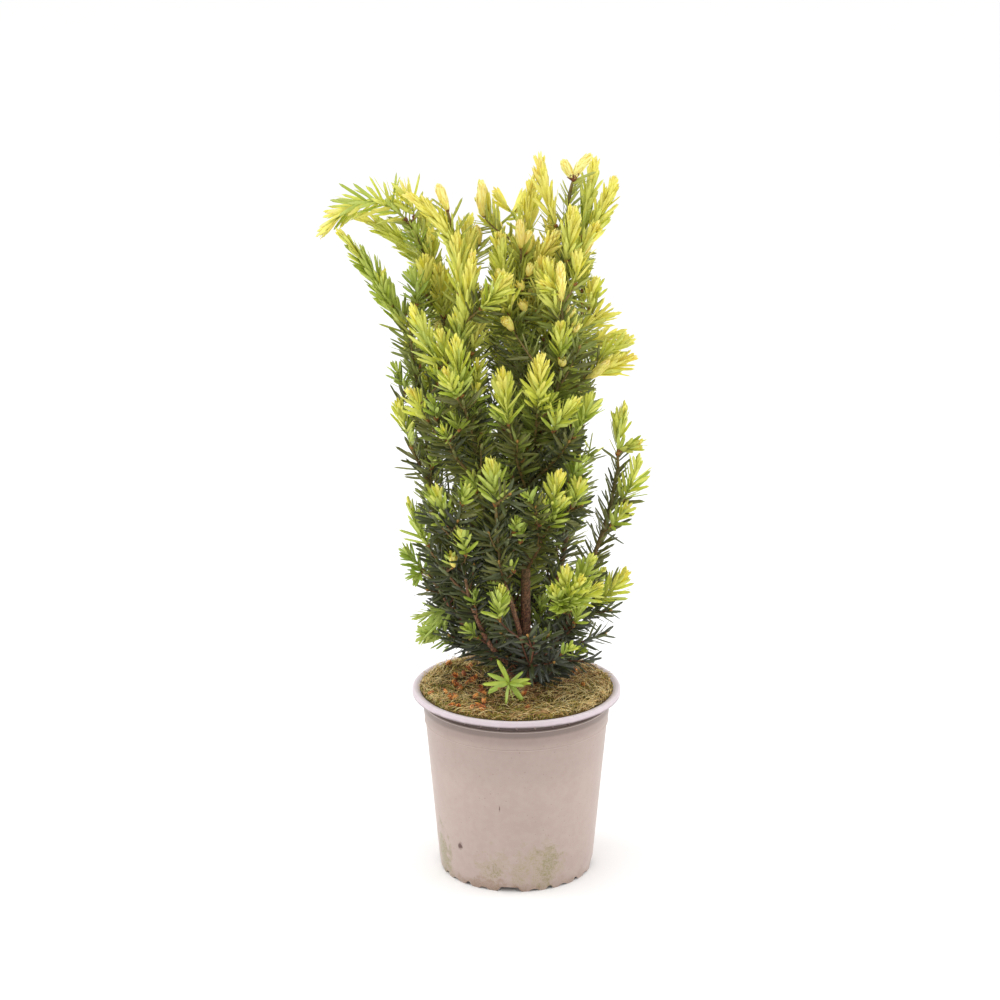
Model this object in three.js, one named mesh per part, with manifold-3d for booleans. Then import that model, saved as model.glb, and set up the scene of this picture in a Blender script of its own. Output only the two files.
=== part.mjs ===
// A young hillii yew in a plastic nursery pot: an upright shrub of several stems from one foot.
// Millimetres, +Z up, the front towards -Y. The origin is the centre of the pot's underside.
import * as THREE from 'three';
import { mergeVertices } from 'three/addons/utils/BufferGeometryUtils.js';
import Module from 'manifold-3d';

const wasm = await Module();
wasm.setup();

// The pot, with each radius measured to the outside.
const pot = {
  height: 174,
  rimRadius: 95,
  mouthRadius: 87,
  neckRadius: 84,
  ledgeRadius: 85.6,
  bandRadius: 83.6,
  wallTopRadius: 83,
  wallFootRadius: 71,
  footRadius: 69.6,
  wall: 1.6,
  rimThickness: 3.4,
  rimBevel: 1.9,
  rimFoot: 167.5,
  neckFoot: 160,
  bandFoot: 142,
  step: 0.7, // the height of the two faint steps in the wall
  footBand: 9,
  floor: 6,
  bossRadius: 20,
  bossSlope: 4,
  sides: 36,
};
const wideNotch = { width: 19.5, topWidth: 17.5, height: 4.4 };
const smallNotch = { width: 6, topWidth: 1.5, height: 3.4 };
const notchTurn = -5.4; // degrees from the front to the nearest wide notch
const smallNotchTurns = [18, 31.5, 45, 58.5, 72]; // degrees from each wide notch
const drains = { radius: 5, ring: 47, count: 8, sides: 8 };
const through = 2; // how far a cutter runs past what it cuts

// The peat fills the pot. Its moss-grown top rises from the wall to a level crown under the stems.
const peat = { clearance: 0.35, edge: 166.5, shoulder: 171.5, shoulderRadius: 64, crown: 175, crownRadius: 32 };

const seat = 0.3; // the gap between a stem and what it grows from
const soilTop = peat.crown + seat;
const rootFlare = { extra: 2.6, fall: 26 };
const groundDepth = 20; // of the block that levels the trunk's foot
const limbSides = 6;
const limbSteps = 9;
const ringCrowding = 1.5; // a limb's rings stand closer towards its foot, where it bends and flares

// Needles each stand for two or three real ones, so they are longer and broader than life.
const needle = { length: 29, width: 6.4, thickness: 1.3, widest: 0.32, sunk: 0.6, pitch: 13.5, firstAt: 8 };
const needleLean = { root: 64, tip: 30 }; // degrees between a needle and its shoot
const needleVaries = { length: 0.3, lean: 8, turn: 34 }; // a share of its length, then degrees
const checkedShares = [0.15, 0.32, 0.5, 0.7, 0.85, 1]; // where a needle is tested for room
const goldenTurn = 137.508;
const seedStep = 7919;
const shootRadius = { root: 2.4, tip: 1.7 };
const shootSides = 3;
const shootSag = 0.35; // how far a shoot's straight lengths may cut its curve
const bud = { length: 12, sunk: 3 }; // a shoot ends in a closed bud of young needles
const fork = { first: 0.3, next: 0.22 }; // where side shoots leave the leading one
const airGap = 0.5; // between a needle and any other piece
const limbSamples = 60;
const shootSamples = 24;

// Each limb runs from its place on another, a share of that one's length up, through these points to its tip.
const limbs = [
  {
    name: 'trunk',
    radii: [5, 1.7],
    path: [[10, -4, soilTop - 3], [8, -7, 245], [10, -10, 335], [19, -8, 445], [36, 4, 538], [46, 8, 628]],
  },
  {
    name: 'stem_left',
    on: 'trunk',
    at: 0.02,
    radii: [3.6, 1.5],
    path: [[-12, -17, 226], [-27, -28, 341], [-40, -30, 433], [-49, -26, 513], [-45, -16, 558]],
  },
  {
    name: 'stem_far_left',
    on: 'trunk',
    at: 0.014,
    radii: [3.2, 1.4],
    path: [[-46, 10, 238], [-70, 10, 312], [-83, 4, 424], [-95, 0, 498]],
  },
  {
    name: 'stem_arching',
    on: 'trunk',
    at: 0.03,
    radii: [3.4, 1.5],
    path: [[-24, 22, 240], [-48, 32, 380], [-66, 27, 510], [-90, 19, 592]],
  },
  {
    name: 'stem_back_left',
    on: 'trunk',
    at: 0.07,
    radii: [3, 1.4],
    path: [[-14, 34, 290], [-34, 56, 400], [-58, 48, 520]],
  },
  {
    name: 'stem_back',
    on: 'trunk',
    at: 0.045,
    radii: [3.2, 1.4],
    path: [[10, 30, 260], [2, 58, 400], [-12, 54, 570]],
  },
  {
    name: 'stem_back_right',
    on: 'trunk',
    at: 0.025,
    radii: [3, 1.4],
    path: [[34, 28, 250], [56, 54, 370], [58, 48, 505]],
  },
  {
    name: 'stem_middle',
    on: 'trunk',
    at: 0.38,
    radii: [2.6, 1.4],
    path: [[9, 8, 430], [8, 16, 505], [4, 16, 566]],
  },
  {
    name: 'stem_front_right',
    on: 'trunk',
    at: 0.46,
    radii: [2.4, 1.4],
    path: [[32, -32, 452], [41, -38, 496], [38, -37, 536]],
  },
  {
    name: 'stem_right',
    on: 'trunk',
    at: 0.017,
    radii: [2.8, 1.5],
    path: [[28, 5, 196], [56, -2, 262], [80, -6, 334], [90, -5, 382]],
  },
  {
    name: 'stem_low_right',
    on: 'trunk',
    at: 0.02,
    radii: [2.4, 1.5],
    path: [[24, -20, 208], [40, -36, 238], [47, -44, 256]],
  },
  {
    name: 'stem_low_left',
    on: 'trunk',
    at: 0.013,
    radii: [2.4, 1.5],
    path: [[-18, -6, 198], [-46, -10, 232], [-76, -13, 280]],
  },
  {
    name: 'stem_front',
    on: 'trunk',
    at: 0.04,
    radii: [2.5, 1.4],
    path: [[2, -30, 238], [-14, -52, 304], [-18, -60, 350]],
  },
  {
    name: 'stem_front_left',
    on: 'trunk',
    at: 0.028,
    radii: [2.6, 1.4],
    path: [[-20, -24, 216], [-40, -38, 264], [-50, -46, 318]],
  },
];

// Each mass of foliage: its limb, a share of that one's length up, and its shoots as [tip x, y, z, arch].
// The first shoot is its stem, and the others fork off that one. Arch is how far a shoot bows upwards.
const spray = (place, on, at, ...shoots) => ({ name: `spray_${place}`, on, at, shoots });
const masses = [
  spray('crown_tip', 'trunk', 1, [66, 10, 665, 3], [37, 6, 660, 0]),
  spray('crown_right', 'trunk', 0.84, [86, 6, 640, -4], [69, 30, 653, 2]),
  spray('crown_left', 'trunk', 0.9, [17, -8, 662, -4]),
  spray('crown_front', 'trunk', 0.76, [48, -32, 622, -5], [70, -20, 606, 0]),
  spray('right_upper', 'trunk', 0.66, [90, -10, 534, 4], [98, 14, 500, 0]),
  spray('right_middle', 'trunk', 0.56, [102, -14, 488, 5]),
  spray('centre_right', 'trunk', 0.5, [20, -66, 500, -8]),
  spray('centre_outer', 'trunk', 0.43, [70, -60, 464, -6], [84, -30, 440, 0]),
  spray('centre_left', 'trunk', 0.4, [-14, -64, 486, -8]),
  spray('waist_front', 'trunk', 0.25, [38, -68, 397, -8], [16, -76, 372, 0]),
  spray('waist_right', 'trunk', 0.3, [66, -30, 400, -6], [80, -44, 366, 0]),
  spray('low_front', 'trunk', 0.05, [16, -78, 250, -10], [36, -80, 226, 0]),
  spray('low_side', 'stem_far_left', 0.14, [-92, 6, 226, -4], [-78, 32, 244, 0]),
  spray('foot_star', 'trunk', 0.022, [-10, -70, 201, 2]),
  spray('left_leader', 'stem_left', 1, [-93, -20, 634, 8], [-58, -4, 646, 2]),
  spray('left_inner', 'stem_left', 0.84, [-38, -40, 585, 0], [-20, -50, 548, 0]),
  spray('left_outer', 'stem_left', 0.7, [-92, -38, 536, -4]),
  spray('left_front', 'stem_left', 0.62, [-54, -66, 516, -6]),
  spray('left_waist', 'stem_left', 0.52, [-96, -40, 464, -4], [-66, -60, 436, 0]),
  spray('far_left_leader', 'stem_far_left', 1, [-154, -8, 598, 4], [-122, -14, 560, 0]),
  spray('far_left_side', 'stem_far_left', 0.6, [-110, -14, 444, -3], [-114, 14, 404, 0]),
  spray('arching', 'stem_arching', 1, [-175, 0, 598, 24], [-116, 34, 642, 2]),
  spray('back_left_leader', 'stem_back_left', 1, [-150, 42, 606, 12], [-84, 66, 600, 0]),
  spray('back_left_side', 'stem_back_left', 0.56, [-100, 78, 480, -4], [-110, 52, 430, 0]),
  spray('middle_leader', 'stem_middle', 1, [16, 14, 648, 0], [-22, 20, 640, 4]),
  spray('middle_front', 'stem_middle', 0.8, [2, -14, 612, -6], [34, -16, 598, 0]),
  spray('middle_left', 'stem_middle', 0.62, [-18, -32, 572, -5], [-12, -48, 528, 0]),
  spray('front_right_leader', 'stem_front_right', 1, [37, -44, 582, 0], [18, -50, 562, 0]),
  spray('right_arm', 'stem_right', 1, [94, -8, 442, 2], [114, -18, 416, 0]),
  spray('right_arm_side', 'stem_right', 0.34, [100, -20, 290, -6], [92, 24, 270, 0]),
  spray('low_right', 'stem_low_right', 1, [42, -70, 310, -4], [76, -62, 293, 0]),
  spray('low_left', 'stem_low_left', 1, [-104, -22, 316, 0], [-98, -36, 290, 0]),
  spray('front_leader', 'stem_front', 1, [-22, -72, 410, 0], [-2, -82, 384, 0]),
  spray('front_left_leader', 'stem_front_left', 1, [-72, -62, 382, -2], [-50, -74, 358, 0]),
  spray('front_left_side', 'stem_front_left', 0.7, [-92, -36, 362, -6]),
  spray('back_leader', 'stem_back', 1, [-34, 48, 650, 0], [6, 72, 628, 0]),
  spray('back_upper', 'stem_back', 0.64, [-38, 98, 504, -4], [4, 98, 520, 0]),
  spray('back_waist', 'stem_back', 0.4, [-34, 104, 392, -6], [-66, 88, 356, 0]),
  spray('back_right_leader', 'stem_back_right', 1, [64, 62, 592, 2], [92, 44, 566, 0]),
  spray('back_right_upper', 'stem_back_right', 0.64, [100, 50, 444, -2], [64, 92, 456, 0]),
  spray('back_right_waist', 'stem_back_right', 0.36, [34, 100, 388, -4], [86, 68, 352, 0]),
  spray('low_back', 'stem_back', 0.1, [22, 90, 290, -8], [-28, 86, 276, 0]),
  spray('low_back_right', 'stem_back_right', 0.14, [84, 54, 268, -6], [48, 72, 246, 0]),
];

const looks = {
  pot: { color: 0xb3a49a, roughness: 0.55 },
  peat: { color: 0x6a5a2e, roughness: 0.95 },
  bark: { color: 0x6b4032, roughness: 0.85 },
  oldFoliage: { color: 0x3c5235, roughness: 0.5 },
  freshFoliage: { color: 0xa9bf3e, roughness: 0.5 },
};
const freshAbove = 450; // masses that reach higher than this are mostly this year's growth

const up = new THREE.Vector3(0, 0, 1);
const { degToRad, lerp } = THREE.MathUtils;

// Joining and cutting

function solidOf(geometry) {
  const bare = geometry.clone();
  bare.deleteAttribute('normal');
  bare.deleteAttribute('uv');
  const merged = mergeVertices(bare, 1e-4);
  const vertProperties = merged.attributes.position.array;
  const triVerts = new Uint32Array(merged.index.array);
  return new wasm.Manifold(new wasm.Mesh({ numProp: 3, vertProperties, triVerts }));
}

function geometryOf(solid) {
  const { vertProperties, triVerts } = solid.getMesh();
  const geometry = new THREE.BufferGeometry();
  geometry.setAttribute('position', new THREE.BufferAttribute(vertProperties, 3));
  geometry.setIndex(new THREE.BufferAttribute(triVerts, 1));
  geometry.computeVertexNormals();
  return geometry;
}

function joined(solids) {
  return solids.reduce((whole, solid) => whole.add(solid));
}

// A cut can leave a scrap beside the piece, which is the largest body.
function largestBody(solid) {
  return solid.decompose().reduce((a, b) => (a.volume() > b.volume() ? a : b));
}

const yew = new THREE.Group();

function addPiece(name, solid, look) {
  const material = new THREE.MeshStandardMaterial({ ...look, metalness: 0, flatShading: true });
  const mesh = new THREE.Mesh(geometryOf(solid), material);
  mesh.name = name;
  yew.add(mesh);
}

// The pot and its filling

function turned(profile) {
  const points = profile.map(([radius, height]) => new THREE.Vector2(radius, height));
  return solidOf(new THREE.LatheGeometry(points, pot.sides).rotateX(Math.PI / 2));
}

function potProfile() {
  const inside = (radius) => radius - pot.wall;
  const bossFoot = pot.bossRadius + pot.bossSlope;
  const floorTop = pot.floor + pot.wall;
  const rimUnderside = pot.height - pot.rimThickness;
  return [
    [0, 0],
    [pot.bossRadius, 0],
    [bossFoot, pot.floor],
    [inside(pot.footRadius) - pot.wall, pot.floor],
    [inside(pot.footRadius), 0],
    [pot.footRadius, 0],
    [pot.wallFootRadius, pot.footBand],
    [pot.wallTopRadius, pot.bandFoot],
    [pot.bandRadius, pot.bandFoot + pot.step],
    [pot.ledgeRadius, pot.neckFoot],
    [pot.neckRadius, pot.neckFoot + pot.step],
    [pot.neckRadius, pot.rimFoot],
    [pot.mouthRadius, rimUnderside],
    [inside(pot.rimRadius), rimUnderside],
    [inside(pot.rimRadius), pot.rimFoot],
    [pot.rimRadius, pot.rimFoot],
    [pot.rimRadius, pot.height - pot.rimBevel],
    [pot.rimRadius - pot.rimBevel, pot.height],
    [pot.mouthRadius, pot.height],
    [inside(pot.neckRadius), pot.rimFoot],
    [inside(pot.wallTopRadius), pot.bandFoot],
    [inside(pot.wallFootRadius), floorTop],
    [bossFoot, floorTop],
    [pot.bossRadius, pot.wall],
    [0, pot.wall],
  ];
}

// A block across the foot ring, turned to its place from the front.
function notchCutter({ width, topWidth, height }, angle) {
  const outline = new THREE.Shape();
  outline.moveTo(-width / 2, -through);
  outline.lineTo(width / 2, -through);
  outline.lineTo(topWidth / 2, height);
  outline.lineTo(-topWidth / 2, height);
  const depth = pot.bossSlope + 2 * through;
  const block = new THREE.ExtrudeGeometry(outline, { depth, bevelEnabled: false });
  block.rotateX(Math.PI / 2).translate(0, depth - pot.wallFootRadius - through, 0);
  return solidOf(block.rotateZ(degToRad(angle)));
}

function drainCutter(angle) {
  const depth = pot.wall + 2 * through;
  const hole = new THREE.CylinderGeometry(drains.radius, drains.radius, depth, drains.sides);
  hole.rotateX(Math.PI / 2).translate(drains.ring, 0, pot.floor + pot.wall / 2);
  return solidOf(hole.rotateZ(angle));
}

function potSolid() {
  let solid = turned(potProfile());
  for (let quarter = 0; quarter < 4; quarter++) {
    const turn = notchTurn + quarter * 90;
    solid = solid.subtract(notchCutter(wideNotch, turn));
    for (const onward of smallNotchTurns) {
      solid = solid.subtract(notchCutter(smallNotch, turn + onward));
    }
  }
  for (let k = 0; k < drains.count; k++) {
    solid = solid.subtract(drainCutter(((k + 0.5) / drains.count) * 2 * Math.PI));
  }
  return solid;
}

function peatSolid() {
  const inset = pot.wall + peat.clearance;
  const bottom = pot.floor + pot.wall + peat.clearance;
  return turned([
    [0, bottom],
    [pot.wallFootRadius - inset, bottom],
    [pot.wallTopRadius - inset, pot.bandFoot],
    [pot.neckRadius - inset, peat.edge],
    [peat.shoulderRadius, peat.shoulder],
    [peat.crownRadius, peat.crown],
    [0, peat.crown],
  ]);
}

// Stems

// A closed, tapering tube along a curve, with its rings crowded towards the foot by a power.
function stemSolid(curve, radiusAt, sides, steps, crowding = 1) {
  const stem = new THREE.CylinderGeometry(1, 1, 1, sides, steps);
  const place = stem.attributes.position;
  for (let k = 0; k < place.count; k++) {
    const share = (place.getY(k) + 0.5) ** crowding;
    const out = Math.hypot(place.getX(k), place.getZ(k));
    const turn = Math.atan2(place.getX(k), place.getZ(k));
    const at = curve.getPointAt(share);
    at.addScaledVector(radial(curve, share, turn), out * radiusAt(share));
    place.setXYZ(k, at.x, at.y, at.z);
  }
  return solidOf(stem);
}

// The direction square to a curve at a turn about it, counted from one level line all along the curve.
function radial(curve, share, turn) {
  const chord = curve.getPointAt(1).sub(curve.getPointAt(0));
  const level = new THREE.Vector3(-chord.y, chord.x, 0.001).normalize();
  const along = curve.getTangentAt(share);
  const upper = level.cross(along).normalize();
  const across = upper.clone().cross(along);
  return across.multiplyScalar(Math.cos(turn)).addScaledVector(upper, Math.sin(turn));
}

function samplesOf(curve, count) {
  const shares = Array.from({ length: count + 1 }, (unused, k) => k / count);
  return shares.map((share) => ({ share, at: curve.getPointAt(share) }));
}

const limbOf = new Map();

function layOutLimb(limb) {
  const points = limb.path.map((point) => new THREE.Vector3(...point));
  if (limb.on) points.unshift(limbOf.get(limb.on).curve.getPointAt(limb.at));
  limb.curve = new THREE.CatmullRomCurve3(points);
  const flare = limb.on ? 0 : rootFlare.extra;
  limb.radiusAt = (share) => lerp(...limb.radii, share) + flare * Math.exp(-share * rootFlare.fall);
  limb.samples = samplesOf(limb.curve, limbSamples);
  limbOf.set(limb.name, limb);
}

function limbSolid(limb, extra = 0) {
  const radiusAt = (share) => limb.radiusAt(share) + extra;
  return stemSolid(limb.curve, radiusAt, limbSides, limbSteps, ringCrowding);
}

// Each limb is cut clear of the ones before it, and the trunk's foot is cut level, just above the peat.
function addLimbs() {
  const ground = new THREE.BoxGeometry(60, 60, groundDepth).translate(0, 0, soilTop - groundDepth / 2);
  let taken = solidOf(ground);
  for (const limb of limbs) {
    addPiece(limb.name, largestBody(limbSolid(limb).subtract(taken)), looks.bark);
    taken = taken.add(limbSolid(limb, seat + 0.05));
  }
  return taken;
}

// Foliage

// The same plain generator serves every mass, so that the plant grows alike each time.
function seededRandom(seed) {
  let state = seed;
  return () => {
    state = (Math.imul(state, 1664525) + 1013904223) >>> 0;
    return state / 2 ** 32;
  };
}

function shootCurve(foot, [x, y, z, arch]) {
  const tip = new THREE.Vector3(x, y, z);
  const chord = tip.clone().sub(foot);
  const length = chord.length();
  const lift = up.clone().addScaledVector(chord, -chord.z / length ** 2).normalize();
  const end = tip.clone().addScaledVector(chord, -bud.length / length);
  const middle = foot.clone().add(end).multiplyScalar(0.5).addScaledVector(lift, 2 * arch);
  return new THREE.QuadraticBezierCurve3(foot, middle, end);
}

function layOutMass(mass) {
  const limb = limbOf.get(mass.on);
  const foot = limb.curve.getPointAt(mass.at);
  if (mass.at === 1) foot.addScaledVector(limb.curve.getTangentAt(1), seat);
  const leading = shootCurve(foot, mass.shoots[0]);
  const others = mass.shoots.slice(1).map((shoot, k) => {
    return shootCurve(leading.getPointAt(fork.first + fork.next * k), shoot);
  });
  mass.curves = [leading, ...others];
  mass.samples = mass.curves.flatMap((curve) => samplesOf(curve, shootSamples));
  mass.reach = Math.max(...mass.shoots.map((shoot) => shoot[2]));
}

const shootRadiusAt = (share) => lerp(shootRadius.root, shootRadius.tip, share);

function shootSteps(curve) {
  const arch = curve.getPoint(0.5).distanceTo(curve.v0.clone().lerp(curve.v2, 0.5));
  return Math.max(2, Math.ceil(Math.sqrt(arch / shootSag)));
}

function distanceTo(samples, point) {
  return Math.min(...samples.map(({ at }) => at.distanceTo(point)));
}

// How far a needle's edge is from its middle line, at a share of its length.
function halfWidthAt(share) {
  const towardsTip = (1 - share) / (1 - needle.widest);
  const towardsRoot = share / needle.widest;
  return (needle.width / 2) * Math.min(towardsTip, towardsRoot);
}

function hitsLimb(point, halfWidth) {
  return limbs.some(({ samples, radiusAt }) => {
    return samples.some(({ share, at }) => at.distanceTo(point) < radiusAt(share) + halfWidth + airGap);
  });
}

// A point is in a mass's own space when it is nearer that mass's shoots than any other's.
function leavesSpace(mass, point, halfWidth) {
  const own = distanceTo(mass.samples, point);
  return masses.some((other) => {
    if (other === mass) return false;
    const away = distanceTo(other.samples, point);
    return away < own + 2 * halfWidth + airGap || away < shootRadius.root + halfWidth + airGap;
  });
}

function touchesSoil(point, halfWidth) {
  return point.z < soilTop + airGap + halfWidth;
}

function isFree(mass, root, tip) {
  return checkedShares.every((share) => {
    const point = root.clone().lerp(tip, share);
    const width = halfWidthAt(share);
    return !hitsLimb(point, width) && !leavesSpace(mass, point, width) && !touchesSoil(point, width);
  });
}

// A flat spindle of eight faces from root to tip, lying across the shoot that it grows on.
function needleSolid(root, tip, across) {
  const along = tip.clone().sub(root);
  const side = across.clone().addScaledVector(along, -across.dot(along) / along.lengthSq()).normalize();
  const face = side.clone().cross(along).normalize();
  const spindle = new THREE.OctahedronGeometry(1);
  const place = spindle.attributes.position;
  for (let k = 0; k < place.count; k++) {
    const run = (1 + place.getY(k)) / 2;
    const share = Math.abs(run - 0.5) < 0.1 ? needle.widest : run;
    const at = root.clone().addScaledVector(along, share);
    at.addScaledVector(side, (place.getX(k) * needle.width) / 2);
    at.addScaledVector(face, (place.getZ(k) * needle.thickness) / 2);
    place.setXYZ(k, at.x, at.y, at.z);
  }
  return solidOf(spindle);
}

function needlesOn(mass, curve, random) {
  const length = curve.getLength();
  const count = Math.floor((length - needle.firstAt) / needle.pitch) + 1;
  const solids = [];
  for (let k = 0; k < count; k++) {
    const share = (needle.firstAt + k * needle.pitch) / length;
    const leanHere = lerp(needleLean.root, needleLean.tip, share);
    const lean = degToRad(leanHere + needleVaries.lean * (random() - 0.5));
    const turn = degToRad(goldenTurn * k + needleVaries.turn * random()) + mass.turn;
    const reach = needle.length * (1 + needleVaries.length * (random() - 0.5));
    const out = radial(curve, share, turn);
    const along = curve.getTangentAt(share);
    const direction = along.clone().multiplyScalar(Math.cos(lean)).addScaledVector(out, Math.sin(lean));
    const base = curve.getPointAt(share);
    const tip = base.clone().addScaledVector(direction, reach);
    if (!isFree(mass, base, tip)) continue;
    const root = base.addScaledVector(direction, -needle.sunk);
    solids.push(needleSolid(root, tip, along.cross(out)));
  }
  return solids;
}

function budSolid(curve) {
  const along = curve.getTangentAt(1);
  const root = curve.getPointAt(1).addScaledVector(along, -bud.sunk);
  const tip = curve.getPointAt(1).addScaledVector(along, bud.length);
  return needleSolid(root, tip, radial(curve, 1, 0));
}

function massSolid(mass, index) {
  const random = seededRandom(index * seedStep);
  mass.turn = random() * 2 * Math.PI;
  const solids = mass.curves.flatMap((curve) => [
    stemSolid(curve, shootRadiusAt, shootSides, shootSteps(curve)),
    budSolid(curve),
    ...needlesOn(mass, curve, random),
  ]);
  return joined(solids);
}

function addMasses(taken) {
  masses.forEach((mass, index) => {
    const solid = largestBody(massSolid(mass, index).subtract(taken));
    addPiece(mass.name, solid, mass.reach > freshAbove ? looks.freshFoliage : looks.oldFoliage);
  });
}

limbs.forEach(layOutLimb);
masses.forEach(layOutMass);
addPiece('pot', potSolid(), looks.pot);
addPiece('peat', peatSolid(), looks.peat);
addMasses(addLimbs());

export default yew;
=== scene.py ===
# A young hillii yew in its nursery pot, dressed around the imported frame.
# Metres, +Z up, the front towards -Y. Plant sizes and places are written in millimetres and scaled by mm.
import math

import bpy
import numpy as np
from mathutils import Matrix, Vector, noise
from mathutils.kdtree import KDTree


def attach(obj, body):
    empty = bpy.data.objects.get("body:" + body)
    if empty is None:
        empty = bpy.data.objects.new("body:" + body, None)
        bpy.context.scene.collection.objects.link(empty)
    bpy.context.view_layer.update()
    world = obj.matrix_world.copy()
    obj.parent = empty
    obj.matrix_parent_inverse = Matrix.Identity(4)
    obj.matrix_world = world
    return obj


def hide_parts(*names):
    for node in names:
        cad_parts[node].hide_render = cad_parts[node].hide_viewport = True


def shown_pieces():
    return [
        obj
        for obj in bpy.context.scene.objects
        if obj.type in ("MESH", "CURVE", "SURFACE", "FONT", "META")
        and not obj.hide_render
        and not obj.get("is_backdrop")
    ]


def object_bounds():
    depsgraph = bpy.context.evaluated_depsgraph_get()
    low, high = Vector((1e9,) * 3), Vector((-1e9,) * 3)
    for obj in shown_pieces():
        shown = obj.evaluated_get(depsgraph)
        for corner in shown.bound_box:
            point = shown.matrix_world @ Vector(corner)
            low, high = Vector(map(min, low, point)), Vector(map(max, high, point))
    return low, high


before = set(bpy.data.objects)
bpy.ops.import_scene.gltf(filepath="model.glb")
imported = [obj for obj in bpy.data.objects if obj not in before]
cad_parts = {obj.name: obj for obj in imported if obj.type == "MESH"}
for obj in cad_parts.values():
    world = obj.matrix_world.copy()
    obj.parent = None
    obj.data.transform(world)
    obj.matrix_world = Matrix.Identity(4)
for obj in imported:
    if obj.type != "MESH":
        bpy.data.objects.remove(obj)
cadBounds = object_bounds()
mm = 0.001
goldenTurn = math.radians(137.508)
print("frame loaded:", len(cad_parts), "nodes")

# Studio

studio = {
    "cameraAt": (-0.015, -2.51, 1.115),
    "cameraPitch": 16.94,  # degrees below level
    "lens": 105.55,
    "sensor": 36,
    "aim": (0, 0, 0.33),
    "floorSize": 16,
    "floorColour": (0.97, 0.97, 0.965, 1),
    "roomLight": 1.03,
}
lamps = {
    "topLamp": {"at": (-0.5, -0.5, 2.6), "size": 1.8, "watts": 12},
    "leftLamp": {"at": (-2.3, 0.5, 1.0), "size": 1.4, "watts": 16},
    "rightLamp": {"at": (2.3, 0.5, 1.0), "size": 1.4, "watts": 18},
}


def buildStudio():
    scene = bpy.context.scene
    scene.view_settings.view_transform = "Standard"

    cameraData = bpy.data.cameras.new("studioCamera")
    cameraData.lens = studio["lens"]
    cameraData.sensor_width = studio["sensor"]
    camera = bpy.data.objects.new("studioCamera", cameraData)
    camera.location = studio["cameraAt"]
    camera.rotation_euler = (math.radians(90 - studio["cameraPitch"]), 0, 0)
    scene.collection.objects.link(camera)
    scene.camera = camera

    for name, lamp in lamps.items():
        light = bpy.data.lights.new(name, "AREA")
        light.size = lamp["size"]
        light.energy = lamp["watts"]
        holder = bpy.data.objects.new(name, light)
        holder.location = lamp["at"]
        aim = Vector(studio["aim"]) - Vector(lamp["at"])
        holder.rotation_euler = aim.to_track_quat("-Z", "Y").to_euler()
        scene.collection.objects.link(holder)

    world = bpy.data.worlds.new("studioRoom")
    world.use_nodes = True
    scene.world = world
    background = world.node_tree.nodes["Background"]
    background.inputs["Color"].default_value = (1, 1, 1, 1)
    background.inputs["Strength"].default_value = studio["roomLight"]

    half = studio["floorSize"] / 2
    corners = [(-half, -half, 0), (half, -half, 0), (half, half, 0), (-half, half, 0)]
    mesh = bpy.data.meshes.new("studioFloor")
    mesh.from_pydata(corners, [], [(0, 1, 2, 3)])
    floor = bpy.data.objects.new("studioFloor", mesh)
    scene.collection.objects.link(floor)
    material = bpy.data.materials.new("studioPaper")
    material.use_nodes = True
    paper = material.node_tree.nodes["Principled BSDF"]
    paper.inputs["Base Color"].default_value = studio["floorColour"]
    paper.inputs["Roughness"].default_value = 0.9
    mesh.materials.append(material)
    floor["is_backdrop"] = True


# Shader helpers


def paint(red, green, blue):
    # a colour as seen on a screen, 0 to 255, to the linear values that shaders take
    parts = [part / 255 for part in (red, green, blue)]
    linear = [part / 12.92 if part < 0.04045 else ((part + 0.055) / 1.055) ** 2.4 for part in parts]
    return (*linear, 1)


def addNode(tree, kind, values, **settings):
    node = tree.nodes.new(kind)
    for key, value in settings.items():
        setattr(node, key, value)
    for socket, value in values.items():
        if isinstance(value, bpy.types.NodeSocket):
            tree.links.new(value, node.inputs[socket])
        else:
            node.inputs[socket].default_value = value
    return node


def addMath(tree, operation, *values):
    return addNode(tree, "ShaderNodeMath", dict(enumerate(values)), operation=operation).outputs[0]


def addVectorMath(tree, operation, *values):
    return addNode(tree, "ShaderNodeVectorMath", dict(enumerate(values)), operation=operation).outputs


def addNoise(tree, place, scale, detail, roughness=0.5):
    values = {"Vector": place, "Scale": scale, "Detail": detail, "Roughness": roughness}
    return addNode(tree, "ShaderNodeTexNoise", values).outputs["Fac"]


def addRange(tree, value, low, high, top=1.0, blend="LINEAR"):
    # 0 at the value low and top at the value high
    values = {"Value": value, "From Min": low, "From Max": high, "To Max": top}
    return addNode(tree, "ShaderNodeMapRange", values, interpolation_type=blend).outputs["Result"]


def mixColours(tree, share, first, second):
    values = {0: share, 6: first, 7: second}  # the colour sockets of a Mix node
    return addNode(tree, "ShaderNodeMix", values, data_type="RGBA").outputs[2]


def startGroup(name, inputs, outputs):
    group = bpy.data.node_groups.new(name, "ShaderNodeTree")
    for label, (kind, value) in inputs.items():
        socket = group.interface.new_socket(label, in_out="INPUT", socket_type="NodeSocket" + kind)
        socket.default_value = value
    for label, kind in outputs.items():
        group.interface.new_socket(label, in_out="OUTPUT", socket_type="NodeSocket" + kind)
    return group, group.nodes.new("NodeGroupInput").outputs, group.nodes.new("NodeGroupOutput").inputs


def objectPlace(tree):
    return tree.nodes.new("ShaderNodeTexCoord").outputs["Object"]


def objectHeight(tree):
    return addNode(tree, "ShaderNodeSeparateXYZ", {0: objectPlace(tree)}).outputs["Z"]


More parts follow.
